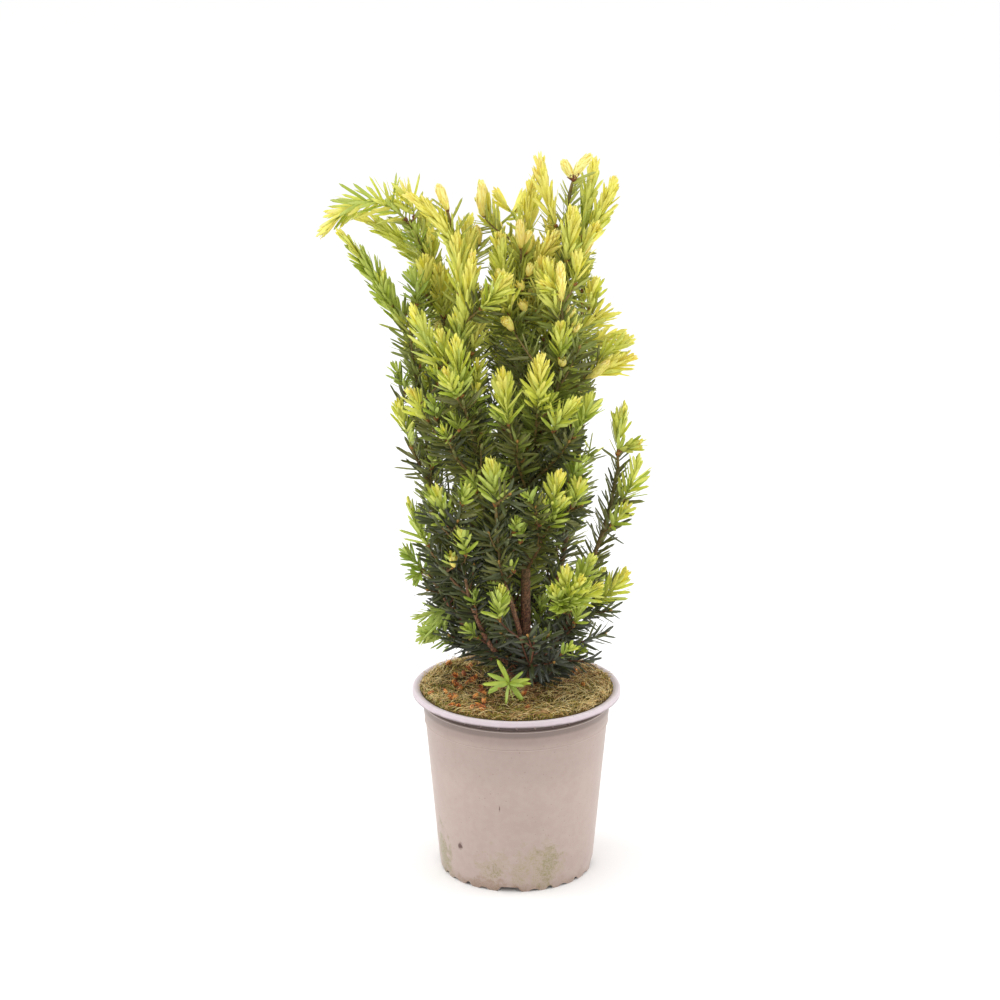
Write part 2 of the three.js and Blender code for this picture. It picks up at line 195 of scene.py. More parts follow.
def buildMottle():
    # two colours that run into each other in soft blotches
    white = (1, 1, 1, 1)
    inputs = {
        "Colour": ("Color", white),
        "Other Colour": ("Color", white),
        "Scale": ("Float", 50.0),
        "Spread": ("Float", 0.12),
        "Amount": ("Float", 1.0),
    }
    group, given, result = startGroup("mottle", inputs, {"Colour": "Color"})
    cloud = addNoise(group, objectPlace(group), given["Scale"], 5.0, 0.6)
    low = addMath(group, "SUBTRACT", 0.5, given["Spread"])
    high = addMath(group, "ADD", 0.5, given["Spread"])
    share = addMath(group, "MULTIPLY", addRange(group, cloud, low, high), given["Amount"])
    group.links.new(mixColours(group, share, given["Colour"], given["Other Colour"]), result["Colour"])
    return group


def buildSpecks():
    # small round specks strewn thinly over a surface
    inputs = {"Scale": ("Float", 400.0), "Radius": ("Float", 0.2), "Share": ("Float", 0.2)}
    group, given, result = startGroup("specks", inputs, {"Mask": "Float"})
    cells = addNode(group, "ShaderNodeTexVoronoi", {"Vector": objectPlace(group), "Scale": given["Scale"]})
    inside = addMath(group, "LESS_THAN", cells.outputs["Distance"], given["Radius"])
    chance = addNode(group, "ShaderNodeSeparateColor", {"Color": cells.outputs["Color"]}).outputs["Red"]
    picked = addMath(group, "LESS_THAN", chance, given["Share"])
    group.links.new(addMath(group, "MULTIPLY", inside, picked), result["Mask"])
    return group


def buildPatch():
    # a stain or a band of painted shade with a ragged edge about a place, broken up into fine grit
    inputs = {
        "Centre": ("Vector", (0, 0, 0)),
        "Size": ("Vector", (0.01, 0.01, 0.01)),
        "Raggedness": ("Float", 0.6),
        "Scale": ("Float", 150.0),
        "Grit": ("Float", 0.0),
    }
    group, given, result = startGroup("patch", inputs, {"Mask": "Float"})
    place = objectPlace(group)
    away = addVectorMath(group, "SUBTRACT", place, given["Centre"])[0]
    reach = addVectorMath(group, "LENGTH", addVectorMath(group, "DIVIDE", away, given["Size"])[0])["Value"]
    cloud = addMath(group, "SUBTRACT", addNoise(group, place, given["Scale"], 4.0), 0.5)
    rag = addMath(group, "MULTIPLY", cloud, given["Raggedness"])
    edge = addMath(group, "ADD", reach, addMath(group, "MULTIPLY", rag, 3.0))
    mask = addRange(group, edge, 1.0, 0.35, blend="SMOOTHSTEP")
    grains = addRange(group, addNoise(group, place, 620.0, 6.0, 0.7), 0.44, 0.62, blend="SMOOTHSTEP")
    lost = addMath(group, "MULTIPLY", given["Grit"], addMath(group, "SUBTRACT", 1.0, grains))
    kept = addMath(group, "SUBTRACT", 1.0, lost)
    group.links.new(addMath(group, "MULTIPLY", mask, kept), result["Mask"])
    return group


def buildGrain():
    # fine relief, with the roughness that goes with it
    inputs = {
        "Scale": ("Float", 500.0),
        "Stretch": ("Vector", (1, 1, 1)),
        "Roughness": ("Float", 0.5),
        "Roughness Spread": ("Float", 0.1),
    }
    group, given, result = startGroup("grain", inputs, {"Height": "Float", "Roughness": "Float"})
    place = addVectorMath(group, "MULTIPLY", objectPlace(group), given["Stretch"])[0]
    fine = addNoise(group, place, given["Scale"], 6.0, 0.65)
    offset = addMath(group, "MULTIPLY", addMath(group, "SUBTRACT", fine, 0.5), given["Roughness Spread"])
    group.links.new(fine, result["Height"])
    group.links.new(addMath(group, "ADD", given["Roughness"], offset), result["Roughness"])
    return group


groups = {"mottle": buildMottle(), "specks": buildSpecks(), "patch": buildPatch(), "grain": buildGrain()}


def useGroup(tree, name, values):
    return addNode(tree, "ShaderNodeGroup", values, node_tree=groups[name]).outputs


def startMaterial(name):
    material = bpy.data.materials.new(name)
    material.use_nodes = True
    return material, material.node_tree, material.node_tree.nodes["Principled BSDF"]


def finishSurface(tree, shader, colour, grain, depth):
    # colour, roughness and relief into the shader; depth is how far the grain stands up
    relief = useGroup(tree, "grain", grain)
    bump = addNode(tree, "ShaderNodeBump", {"Height": relief["Height"], "Distance": depth, "Strength": 1.0})
    tree.links.new(colour, shader.inputs["Base Color"])
    tree.links.new(relief["Roughness"], shader.inputs["Roughness"])
    tree.links.new(bump.outputs["Normal"], shader.inputs["Normal"])


def addMottles(tree, colour, layers):
    # lays blotches over a colour: each layer has a colour, scale, spread and amount
    for other, scale, spread, amount in layers:
        values = {"Colour": colour, "Other Colour": paint(*other), "Scale": scale, "Spread": spread}
        colour = useGroup(tree, "mottle", {**values, "Amount": amount})["Colour"]
    return colour


def addPatches(tree, colour, patches):
    # lays stains, or painted shade, over a colour: each has a place, reach, strength, raggedness, its scale,
    # grit and tone
    for centre, size, strength, ragged, scale, grit, tone in patches:
        spot = {"Centre": tuple(part * mm for part in centre), "Size": tuple(part * mm for part in size)}
        mask = useGroup(tree, "patch", {**spot, "Raggedness": ragged, "Scale": scale, "Grit": grit})["Mask"]
        colour = mixColours(tree, addMath(tree, "MULTIPLY", mask, strength), colour, paint(*tone))
    return colour


# Mesh helpers


skyward = np.array([0, 0, 1.0])


def unit(vectors):
    return vectors / np.linalg.norm(vectors, axis=-1, keepdims=True)


def without(vectors, axes, share=1.0):
    # vectors with their part along some axes taken away, or a share of it
    return vectors - axes * (vectors * axes).sum(axis=1, keepdims=True) * share


class Heap:
    # points and faces gathered for one joined mesh, each face with the number of its material
    def __init__(self):
        self.points = []
        self.quads = []
        self.triangles = []
        self.slots = {4: [], 3: []}
        self.count = 0

    def add(self, points, quads=(), triangles=(), quadSlots=0, triangleSlots=0):
        for store, faces, sides, slots in (
            (self.quads, quads, 4, quadSlots),
            (self.triangles, triangles, 3, triangleSlots),
        ):
            if len(faces):
                store.append(np.asarray(faces).reshape(-1, sides) + self.count)
                self.slots[sides].append(np.broadcast_to(slots, len(store[-1])))
        self.points.append(points)
        self.count += len(points)

    def make(self, name, materials, sharpRuns=None):
        quads = np.concatenate(self.quads) if self.quads else np.zeros((0, 4), int)
        triangles = np.concatenate(self.triangles) if self.triangles else np.zeros((0, 3), int)
        sizes = np.concatenate([np.full(len(quads), 4), np.full(len(triangles), 3)])
        slots = np.concatenate(self.slots[4] + self.slots[3])
        mesh = bpy.data.meshes.new(name)
        mesh.vertices.add(self.count)
        mesh.vertices.foreach_set("co", np.concatenate(self.points).astype(np.float32).ravel())
        corners = np.concatenate([quads.ravel(), triangles.ravel()])
        mesh.loops.add(len(corners))
        mesh.loops.foreach_set("vertex_index", corners.astype(np.int32))
        mesh.polygons.add(len(sizes))
        mesh.polygons.foreach_set("loop_start", (np.cumsum(sizes) - sizes).astype(np.int32))
        mesh.polygons.foreach_set("material_index", slots.astype(np.int32))
        mesh.polygons.foreach_set("use_smooth", np.ones(len(sizes), bool))
        mesh.update(calc_edges=True)
        if sharpRuns is not None:
            markSharp(mesh, sharpRuns)
        for material in materials:
            mesh.materials.append(material)
        piece = bpy.data.objects.new(name, mesh)
        bpy.context.scene.collection.objects.link(piece)
        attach(piece, "root")
        return piece


def markSharp(mesh, runs):
    # an edge is sharp when both its ends lie on the same numbered run of points, such as a needle's margin
    ends = np.zeros(len(mesh.edges) * 2, np.int32)
    mesh.edges.foreach_get("vertices", ends)
    first, second = runs[ends.reshape(-1, 2)].T
    sharp = mesh.attributes.new("sharp_edge", "BOOLEAN", "EDGE")
    sharp.data.foreach_set("value", (first == second) & (first > 0))


def framesAlong(points):
    # two directions square to a line at each of its points, carried along it without a twist
    tangents = unit(np.gradient(points, axis=0))
    side = np.cross(tangents[0], (0.3, 0.9, 0.2))
    sides = []
    for tangent in tangents:
        side = unit(side - tangent * side.dot(tangent))
        sides.append(side)
    sides = np.array(sides)
    return sides, np.cross(tangents, sides)


def addSkin(heap, rings, ends, slot=0, turned=False):
    # rings of points joined by quads and closed by a fan to a point at each end; turned faces the other way
    count, sides = rings.shape[:2]
    here, onward = np.arange(sides), (np.arange(sides) + 1) % sides
    start = np.arange(count - 1)[:, None] * sides
    quads = np.stack([start + here, start + onward, start + sides + onward, start + sides + here], axis=-1)
    last, foot = (count - 1) * sides, count * sides
    caps = [(foot, b, a) for a, b in zip(here, onward)]
    caps += [(foot + 1, last + a, last + b) for a, b in zip(here, onward)]
    if turned:
        quads, caps = quads[..., [0, 3, 2, 1]], np.array(caps)[:, [0, 2, 1]]
    heap.add(np.concatenate([rings.reshape(-1, 3), ends]), quads, caps, slot, slot)


def addTube(heap, points, radii, sides, relief=None, slot=0):
    # a closed tube along points; relief moves a ring's points in or out
    across, over = framesAlong(points)
    turns = np.arange(sides) * 2 * math.pi / sides
    spokes = across[:, None] * np.cos(turns)[:, None] + over[:, None] * np.sin(turns)[:, None]
    skin = points[:, None] + spokes * np.asarray(radii)[:, None, None]
    if relief:
        heights = [relief(Vector(place)) for place in skin.reshape(-1, 3)]
        skin = skin + spokes * np.reshape(heights, (len(points), sides, 1))
    addSkin(heap, skin, [points[0], points[-1] + (points[-1] - points[-2]) * 0.3], slot)


# Stems: the same limbs as the frame's, by the same rule

# Each limb: the share of the trunk's length where it leaves, its radii at foot and tip, and its places.
limbs = {
    "trunk": (0, 5, 1.7,
        [(10, -4, 172.3), (8, -7, 245), (10, -10, 335), (19, -8, 445), (36, 4, 538), (46, 8, 628)]),
    "stem_left": (0.02, 3.6, 1.5,
        [(-12, -17, 226), (-27, -28, 341), (-40, -30, 433), (-49, -26, 513), (-45, -16, 558)]),
    "stem_far_left": (0.014, 3.2, 1.4, [(-46, 10, 238), (-70, 10, 312), (-83, 4, 424), (-95, 0, 498)]),
    "stem_arching": (0.03, 3.4, 1.5, [(-24, 22, 240), (-48, 32, 380), (-66, 27, 510), (-90, 19, 592)]),
    "stem_back_left": (0.07, 3, 1.4, [(-14, 34, 290), (-34, 56, 400), (-58, 48, 520)]),
    "stem_back": (0.045, 3.2, 1.4, [(10, 30, 260), (2, 58, 400), (-12, 54, 570)]),
    "stem_back_right": (0.025, 3, 1.4, [(34, 28, 250), (56, 54, 370), (58, 48, 505)]),
    "stem_middle": (0.38, 2.6, 1.4, [(9, 8, 430), (8, 16, 505), (4, 16, 566)]),
    "stem_front_right": (0.46, 2.4, 1.4, [(32, -32, 452), (41, -38, 496), (38, -37, 536)]),
    "stem_right": (0.017, 2.8, 1.5, [(28, 5, 196), (56, -2, 262), (80, -6, 334), (90, -5, 382)]),
    "stem_low_right": (0.02, 2.4, 1.5, [(24, -20, 208), (40, -36, 238), (47, -44, 256)]),
    "stem_low_left": (0.013, 2.4, 1.5, [(-18, -6, 198), (-46, -10, 232), (-76, -13, 280)]),
    "stem_front": (0.04, 2.5, 1.4, [(2, -30, 238), (-14, -52, 304), (-18, -60, 350)]),
    "stem_front_left": (0.028, 2.6, 1.4, [(-20, -24, 216), (-40, -38, 264), (-50, -46, 318)]),
}

# Each spray: its limb, the share of that limb's length up, and its shoots. A shoot is its tip's x, y and z,
# how far it bows up, how much of its end is this year's growth, and whether that is open or still closed.
sprays = {
    "crown_tip": ("trunk", 1, (66, 10, 665, 3, 30, "closed"), (37, 6, 660, 0, 22, "closed")),
    "crown_right": ("trunk", 0.84, (86, 6, 640, -4, 48, "open"), (69, 30, 653, 2, 46, "open")),
    "crown_left": ("trunk", 0.9, (17, -8, 662, -4, 44, "open")),
    "crown_front": ("trunk", 0.76, (48, -32, 622, -5, 34, "open"), (70, -20, 606, 0, 32, "open")),
    "right_upper": ("trunk", 0.66, (90, -10, 534, 4, 40, "open"), (98, 14, 500, 0, 34, "open")),
    "right_middle": ("trunk", 0.56, (102, -14, 488, 5, 42, "open")),
    "centre_right": ("trunk", 0.5, (20, -66, 500, -8, 50, "open")),
    "centre_outer": ("trunk", 0.43, (70, -60, 464, -6, 48, "open")),
    "centre_left": ("trunk", 0.4, (-14, -64, 486, -8, 48, "open")),
    "waist_front": ("trunk", 0.25, (38, -68, 397, -8, 42, "open"), (16, -76, 372, 0, 0, "old")),
    "waist_right": ("trunk", 0.3, (56, -30, 400, -6, 34, "open"), (62, -50, 364, 0, 0, "old")),
    "low_front": ("trunk", 0.05, (16, -78, 250, -10, 0, "old"), (36, -80, 226, 0, 0, "old")),
    "low_side": ("stem_far_left", 0.14, (-92, 6, 226, -4, 38, "green"), (-78, 32, 244, 0, 0, "old")),
    "foot_star": ("trunk", 0.022, (-10, -70, 201, 2, 8, "star")),
    "left_leader": ("stem_left", 1, (-93, -20, 634, 8, 66, "open"), (-70, -6, 642, 2, 28, "closed")),
    "left_inner": ("stem_left", 0.84, (-38, -40, 585, 0, 60, "open"), (-20, -50, 548, 0, 0, "old")),
    "left_outer": ("stem_left", 0.7, (-92, -38, 536, -4, 48, "open")),
    "left_front": ("stem_left", 0.62, (-54, -66, 516, -6, 48, "open")),
    "left_waist": ("stem_left", 0.52, (-96, -40, 464, -4, 32, "open"), (-66, -60, 436, 0, 22, "open")),
    "far_left_leader": ("stem_far_left", 1, (-154, -8, 598, 4, 92, "open"), (-120, -14, 562, -4, 46, "open")),
    "far_left_side": ("stem_far_left", 0.6, (-106, -14, 446, -3, 46, "open"), (-84, 14, 404, 0, 0, "old")),
    "arching": ("stem_arching", 1, (-175, 0, 598, 24, 92, "arch"), (-112, 34, 622, 2, 40, "arch")),
    "back_left_leader": ("stem_back_left", 1, (-148, 42, 606, 11, 90, "open"), (-84, 66, 600, 0, 44, "open")),
    "back_left_side": ("stem_back_left", 0.56, (-100, 78, 480, -4, 40, "open"), (-100, 52, 430, 0, 0, "old")),
    "middle_leader": ("stem_middle", 1, (14, 14, 640, 0, 66, "open"), (-19, 20, 628, 2, 50, "open")),
    "middle_front": ("stem_middle", 0.8, (2, -14, 612, -6, 30, "closed"), (34, -16, 598, 0, 32, "open")),
    "middle_left": ("stem_middle", 0.62, (-18, -32, 572, -5, 38, "closed"), (-12, -48, 528, 0, 20, "closed")),
    "front_right_leader": ("stem_front_right", 1,
        (37, -44, 582, 0, 40, "closed"), (18, -50, 562, 0, 30, "open")),
    "right_arm": ("stem_right", 1, (94, -8, 442, 2, 46, "open"), (112, -18, 410, 0, 48, "open")),
    "right_arm_side": ("stem_right", 0.34, (100, -20, 290, -6, 48, "open"), (92, 24, 270, 0, 0, "old")),
    "low_right": ("stem_low_right", 1, (42, -70, 310, -4, 52, "open"), (76, -62, 293, 0, 44, "open")),
    "low_left": ("stem_low_left", 1, (-104, -22, 316, 0, 40, "green"), (-96, -36, 286, 0, 24, "green")),
    "front_leader": ("stem_front", 1, (-22, -72, 410, 0, 46, "open"), (-2, -82, 384, 0, 0, "old")),
    "front_left_leader": ("stem_front_left", 1,
        (-72, -62, 382, -2, 40, "open"), (-50, -74, 358, 0, 0, "old")),
    "front_left_side": ("stem_front_left", 0.7, (-100, -36, 362, -6, 48, "open")),
    "back_leader": ("stem_back", 1, (-38, 48, 632, 0, 52, "open"), (20, 72, 618, 0, 46, "open")),
    "back_upper": ("stem_back", 0.64, (-38, 98, 504, -4, 44, "open"), (4, 98, 520, 0, 40, "open")),
    "back_waist": ("stem_back", 0.4, (-34, 104, 392, -6, 38, "open"), (-66, 88, 356, 0, 0, "old")),
    "back_right_leader": ("stem_back_right", 1, (60, 62, 592, 2, 50, "open"), (66, 44, 560, 0, 42, "open")),
    "back_right_upper": ("stem_back_right", 0.64,
        (60, 52, 448, -2, 42, "open"), (48, 92, 456, 0, 36, "open")),
    "back_right_waist": ("stem_back_right", 0.36, (34, 100, 388, -4, 36, "open"), (66, 72, 352, 0, 0, "old")),
    "low_back": ("stem_back", 0.1, (22, 90, 290, -8, 30, "green"), (-28, 86, 276, 0, 0, "old")),
    "low_back_right": ("stem_back_right", 0.14, (84, 54, 268, -6, 34, "open"), (48, 72, 246, 0, 0, "old")),
}

# Young side shoots: the tip, the place where this year's growth starts, and its form. Each springs from
# the nearest stem that is low enough under it.
sideShoots = [
    ((-36, 6, 602), (-34, 10, 581), "closed"),
    ((-31, 12, 641), (-29, 12, 606), "closed"),
    ((13, -22, 573), (9, -18, 560), "closed"),
    ((0, -24, 558), (4, -20, 548), "closed"),
    ((3, -28, 542), (6, -24, 529), "closed"),
    ((21, -20, 572), (17, -16, 527), "open"),
    ((11, -10, 601), (8, -6, 578), "closed"),
    ((35, -28, 576), (39, -24, 539), "closed"),
    ((29, -36, 547), (37, -32, 538), "closed"),
    ((48, -36, 539), (44, -32, 525), "closed"),
    ((52, -40, 524), (49, -36, 514), "closed"),
    ((-12, -40, 530), (-4, -36, 515), "closed"),
    ((68, -16, 555), (64, -12, 528), "open"),
    ((52, -26, 582), (50, -24, 553), "open"),
    ((39, -48, 495), (39, -44, 486), "closed"),
    ((-35, -48, 469), (-38, -44, 453), "open"),
    ((-71, -36, 482), (-69, -32, 466), "open"),
    ((-57, -52, 446), (-51, -48, 428), "open"),
    ((112, -14, 394), (94, -12, 354), "open"),
    ((99, -20, 351), (84, -16, 331), "open"),
    ((0, -64, 354), (-3, -60, 338), "green"),
    ((55, -54, 384), (48, -50, 359), "open"),
    ((-57, -52, 318), (-55, -48, 304), "closed"),
    ((-8, -62, 314), (-3, -58, 302), "green"),
    ((60, -40, 402), (46, -36, 376), "green"),
    ((50, -60, 458), (32, -50, 428), "open"),
    ((-83, 24, 616), (-80, 24, 588), "open"),
    ((-99, 20, 630), (-90, 20, 603), "arch"),
    ((-94, 18, 598), (-82, 22, 570), "green"),
    ((56, -50, 272), (51, -46, 250), "open"),
    ((-50, -68, 344), (-45, -60, 318), "open"),
    ((-12, 84, 402), (-8, 74, 376), "open"),
    ((36, 88, 430), (34, 78, 404), "open"),
    ((-56, 84, 420), (-50, 74, 394), "open"),
    ((14, 92, 346), (12, 80, 320), "open"),
    ((-36, 88, 330), (-30, 78, 306), "green"),
    ((56, 74, 330), (50, 66, 306), "open"),
    ((70, 60, 400), (64, 54, 374), "open"),
    ((-80, 60, 380), (-72, 54, 354), "open"),
    ((2, 94, 470), (0, 84, 444), "open"),
    ((-10, 80, 252), (-8, 70, 230), "green"),
    ((22, -62, 372), (20, -54, 344), "open"),
    ((-78, 16, 566), (-80, 16, 534), "open"),
    ((-16, -56, 246), (0, -28, 222), "old"),
    ((-108, -2, 476), (-99, 0, 450), "green"),
    ((41, -64, 370), (28, -52, 342), "open"),
    ((0, -60, 350), (3, -52, 327), "green"),
    ((-57, -50, 317), (-57, -44, 302), "open"),
    ((-15, -72, 292), (-15, -62, 258), "open"),
    ((61, -16, 216), (48, -10, 202), "green"),
    ((-88, 4, 216), (-50, 0, 252), "green"),
    ((-92, -12, 244), (-56, -10, 250), "green"),
    ((56, -72, 300), (44, -52, 266), "open"),
    ((32, -74, 292), (42, -50, 262), "open"),
    ((66, -50, 312), (48, -44, 272), "open"),
    ((84, -6, 228), (44, -8, 212), "old"),
    ((70, -30, 208), (38, -22, 204), "old"),
    ((88, -22, 254), (56, -12, 244), "old"),
    ((-84, -16, 272), (-56, -12, 262), "old"),
    ((98, -12, 502), (70, -10, 480), "open"),
    ((-92, -6, 562), (-88, -4, 530), "green"),
    ((-80, 12, 568), (-80, 8, 536), "open"),
    ((-84, 16, 540), (-84, 10, 512), "green"),
]

growth = {
    "flare": 2.6,  # of the trunk's foot
    "flareFall": 26,  # how fast the flare ends, up the trunk
    "seat": 0.3,  # between a limb's tip and the shoot on it
    "bud": 9,  # a shoot's stem ends this far short of its tip
    "fingerBud": 6,  # a closed one's stem
    "sideBud": 5,  # and a side shoot's
    "longestFinger": 26,
    "fingersAbove": 460,  # below this height no twig ends in a closed shoot
    "forkFirst": 0.3,  # share of a spray's first shoot where the second leaves it
    "forkNext": 0.22,  # and how much further up the next
    "shootRadii": (1.5, 0.85),  # at foot and tip
    "twigRadii": (1.0, 0.6),
    "twigFirst": 13,  # where the twigs start on a shoot
    "limbBare": 22,  # and the twigs and needles on a limb
    "limbBareTo": {"trunk": 96},
    "shootBare": 5,  # and the needles on a shoot
    "twigLast": 6,  # the twigs end this far short of the young growth
    "twigless": ["stem_right"],
    "leanStray": 10,  # how many degrees a twig's lean strays
    "lengthStray": (0.72, 1.28),  # what its length is multiplied by
    "twigRoom": 8,
    "lift": 0.4,  # how much a twig turns upwards
    "topTwig": 606,  # no side twig ends above this height
    "lowTwig": 16,  # or lower than this above the soil
    "clearOfEdge": 14,  # a twig's tip stays this far inside the plant's outline, as its needles reach further
    "soil": 176,
    "gaps": [  # left, right, low and high as seen on the plane y = 0, and the y's between, if not as below
        (-5, 16, 222, 287, -95, -9),
        (-34, 14, 186, 214, -95, -44),
        (-68, -52, 614, 634),
        (-50, -32, 606, 650),
        (-13, 0, 600, 650),
        (16, 22, 622, 634),
        (23, 30, 606, 618),
        (64, 130, 552, 588),
        (79, 130, 522, 540),
        (93, 130, 500, 511),
        (59, 84, 399, 426),
        (66, 130, 440, 466),
        (94, 130, 406, 416),
        (110, 130, 376, 392),
        (-130, -97, 399, 421),
        (-130, -97, 324, 348),
    ],
    "shade": [(-33, 4, 278, 350)],  # where no side twig bears fresh growth, in the same way
    "through": (-95, 110),  # the y's that a gap or shade runs between
    "levelParting": 0.55,  # how far the needles of a level shoot part to its two sides
    "parting": 0.62,  # and old needles, as seen from outside
    "facing": 0.9,  # how far old needles turn their glossy side outwards
    "facingUp": 0.6,  # and upwards instead, on a level shoot
    "outwardPull": 90,  # turns outwards more to the front or back
    "needleRoom": 0.9,  # between a needle and a limb that it passes
    "footBare": {"foot_star": 1.0},  # the share of a shoot without old needles, where it isn't shootBare
    "seed": 11,
}
# Each kind of needle: length, width, thickness, pitch along its shoot, lean of the shoot's first and last
# needle in degrees, bend, and how long the last needle is as a share.
needleKinds = {
    "old": (24.5, 2.95, 0.6, 1.3, (62, 40), 0.04, 0.72),
    "green": (23, 3.1, 0.6, 0.95, (58, 16), 0.05, 0.52),
    "open": (25.5, 3.3, 0.7, 0.8, (52, 11), 0.08, 0.5),
    "arch": (29, 3.6, 0.7, 1.1, (58, 12), 0.1, 0.45),
    "closed": (6.4, 1.8, 0.8, 0.34, (8, -16), 0.03, 0.4),
    "star": (26, 4.6, 0.7, 0.3, (86, 50), -0.04, 0.75),
}
fingerGirth = (1.5, 3.1, 3.3, 1.1)  # the radius of a closed shoot under its needles, from foot to tip
# What changes with height: each row is a height, then the value there.
zones = {
    "freshChance": [(205, 0.0), (230, 0.3), (320, 0.5), (400, 0.46), (460, 0.56), (530, 0.94), (600, 1.0)],
    "freshShare": [(200, 0.45), (450, 0.55), (540, 0.85), (620, 0.92)],
    "freshGain": [(420, 1.0), (520, 1.2), (600, 1.5)],
    "twigEvery": [(200, 18), (450, 20), (540, 27)],
    "limbTwigEvery": [(200, 12), (450, 14), (540, 22)],
    "twigLength": [(200, 26), (420, 30), (500, 42), (600, 50)],
    "twigLean": [(200, 44), (450, 36), (540, 24), (600, 20)],
    "openLean": [(250, 56), (400, 52), (480, 46), (560, 37), (640, 28)],
    "needleLength": [(200, 0.88), (300, 0.94), (400, 1.0)],
    "oldTone": [(200, 10.4), (320, 9.3), (380, 8.8), (470, 8.2), (540, 6.9), (600, 5.9)],
    "leftReach": [(200, -62), (224, -90), (300, -103), (338, -95), (400, -102), (486, -109), (522, -115)]
    + [(558, -134), (594, -158), (629, -166)],
    "rightReach": [(200, 64), (224, 78), (244, 88), (268, 62), (300, 54), (357, 60), (413, 63), (431, 70)]
    + [(468, 86), (486, 97), (504, 94), (522, 86), (540, 76), (558, 68), (576, 68), (600, 84), (640, 86)],
}


def zone(name, height):
    # the value of a zone rule at a height in metres
    return np.interp(height / mm, *zip(*zones[name]))


class Stem:
    # a smooth line that tapers from its foot to its tip
    def __init__(self, points, radii, flare=0.0, **facts):
        self.points = points
        self.run = np.concatenate([[0], np.cumsum(np.linalg.norm(np.diff(points, axis=0), axis=1))])
        self.length = self.run[-1]
        self.radii = radii
        self.flare = flare
        self.facts = facts

    def at(self, distance):
        return np.stack([np.interp(distance, self.run, self.points[:, k]) for k in range(3)], axis=-1)

    def along(self, distance):
        reach = 0.02 * self.length
        ahead = np.minimum(distance + reach, self.length)
        behind = np.maximum(ahead - 2 * reach, 0)
        return unit(self.at(ahead) - self.at(behind))

    def radius(self, distance):
        share = distance / self.length
        taper = self.radii[0] + (self.radii[1] - self.radii[0]) * share
        return taper + self.flare * np.exp(-share * growth["flareFall"])


def curveThrough(places):
    # a centripetal curve through its places, as the frame's limbs have
    places = [np.array(place, float) for place in places]
    places = [2 * places[0] - places[1], *places, 2 * places[-1] - places[-2]]
    share = np.linspace(0, 1, 40, endpoint=False)[:, None]
    line = []
    for before, start, end, after in zip(places, places[1:], places[2:], places[3:]):
        pairs = ((before, start), (start, end), (end, after))
        near, span, far = (np.linalg.norm(b - a) ** 0.5 for a, b in pairs)
        leave = (start - before) / near - (end - before) / (near + span) + (end - start) / span
        arrive = (end - start) / span - (after - start) / (span + far) + (after - end) / far
        leave, arrive = leave * span, arrive * span
        square = -3 * start + 3 * end - 2 * leave - arrive
        cube = 2 * start - 2 * end + leave + arrive
        line.append(start + leave * share + square * share**2 + cube * share**3)
    return np.concatenate([*line, [places[-2]]])


def bent(foot, middle, end, count):
    # points on a curve from a foot to an end, drawn towards a middle
    share = np.linspace(0, 1, count)[:, None]
    return foot * (1 - share) ** 2 + middle * 2 * share * (1 - share) + end * share**2


def bowed(foot, tip, arch, short):
    # from a foot to just short of a tip, bowed upwards by an arch
    chord = tip - foot
    length = np.linalg.norm(chord)
    lift = unit(skyward - chord * chord[2] / length**2)
    end = tip - chord * short / length
    return bent(foot, (foot + end) / 2 + lift * 2 * arch, end, 33)


def layOutLimbs():
    stems = {}
    for name, (share, footRadius, tipRadius, places) in limbs.items():
        path = [np.array(place) * mm for place in places]
        flare = growth["flare"] * mm
        if stems:
            trunk = stems["trunk"]
            path.insert(0, trunk.at(share * trunk.length))
            flare = 0
        stems[name] = Stem(curveThrough(path), (footRadius * mm, tipRadius * mm), flare, name=name)
    return stems


def layOutShoots(limbStems):
    radii = tuple(radius * mm for radius in growth["shootRadii"])
    shoots = []
    for name, (limbName, share, *tips) in sprays.items():
        limb = limbStems[limbName]
        foot = limb.at(share * limb.length)
        if share == 1:
            foot = foot + limb.along(limb.length) * growth["seat"] * mm
        leading = None
        for k, (x, y, z, arch, fresh, form) in enumerate(tips):
            if k:
                foot = leading.at(leading.length * (growth["forkFirst"] + growth["forkNext"] * (k - 1)))
            bud = growth["fingerBud"] if form == "closed" else growth["bud"]
            line = bowed(foot, np.array((x, y, z)) * mm, arch * mm, bud * mm)
            gain = zone("freshGain", z * mm) if form == "open" else 1
            shoot = Stem(line, radii, name=name, form=form)
            shoot.facts["fresh"] = min(max(fresh * gain - bud, 4) * mm, 0.9 * shoot.length)  # never all of it
            leading = leading or shoot
            shoots.append(shoot)
    return shoots


def layOutSideShoots(carriers):
    radii = tuple(radius * mm for radius in growth["twigRadii"])
    crowd = np.concatenate([carrier.points for carrier in carriers])
    shoots = []
    for tip, base, form in sideShoots:
        tip, base = np.array(tip) * mm, np.array(base) * mm
        drop = base - crowd
        low = drop[:, 2] > 0.8 * np.hypot(drop[:, 0], drop[:, 1])  # what lies steeply below
        away = np.where(low, np.linalg.norm(drop, axis=1), np.inf)
        end = tip - unit(tip - base) * growth["sideBud"] * mm
        line = curveThrough([crowd[away.argmin()], base, end])
        fresh = np.linalg.norm(tip - base) - growth["sideBud"] * mm
        shoots.append(Stem(line, radii, name="side", fresh=fresh, form=form))
    return shoots


def squareTo(tangent, turn):
    # the direction square to a tangent at a turn about it, counted from a level line
    level = unit(np.cross(tangent, (0.02, 0.01, 1.0)))
    upper = np.cross(level, tangent)
    return level * np.cos(turn)[..., None] + upper * np.sin(turn)[..., None]


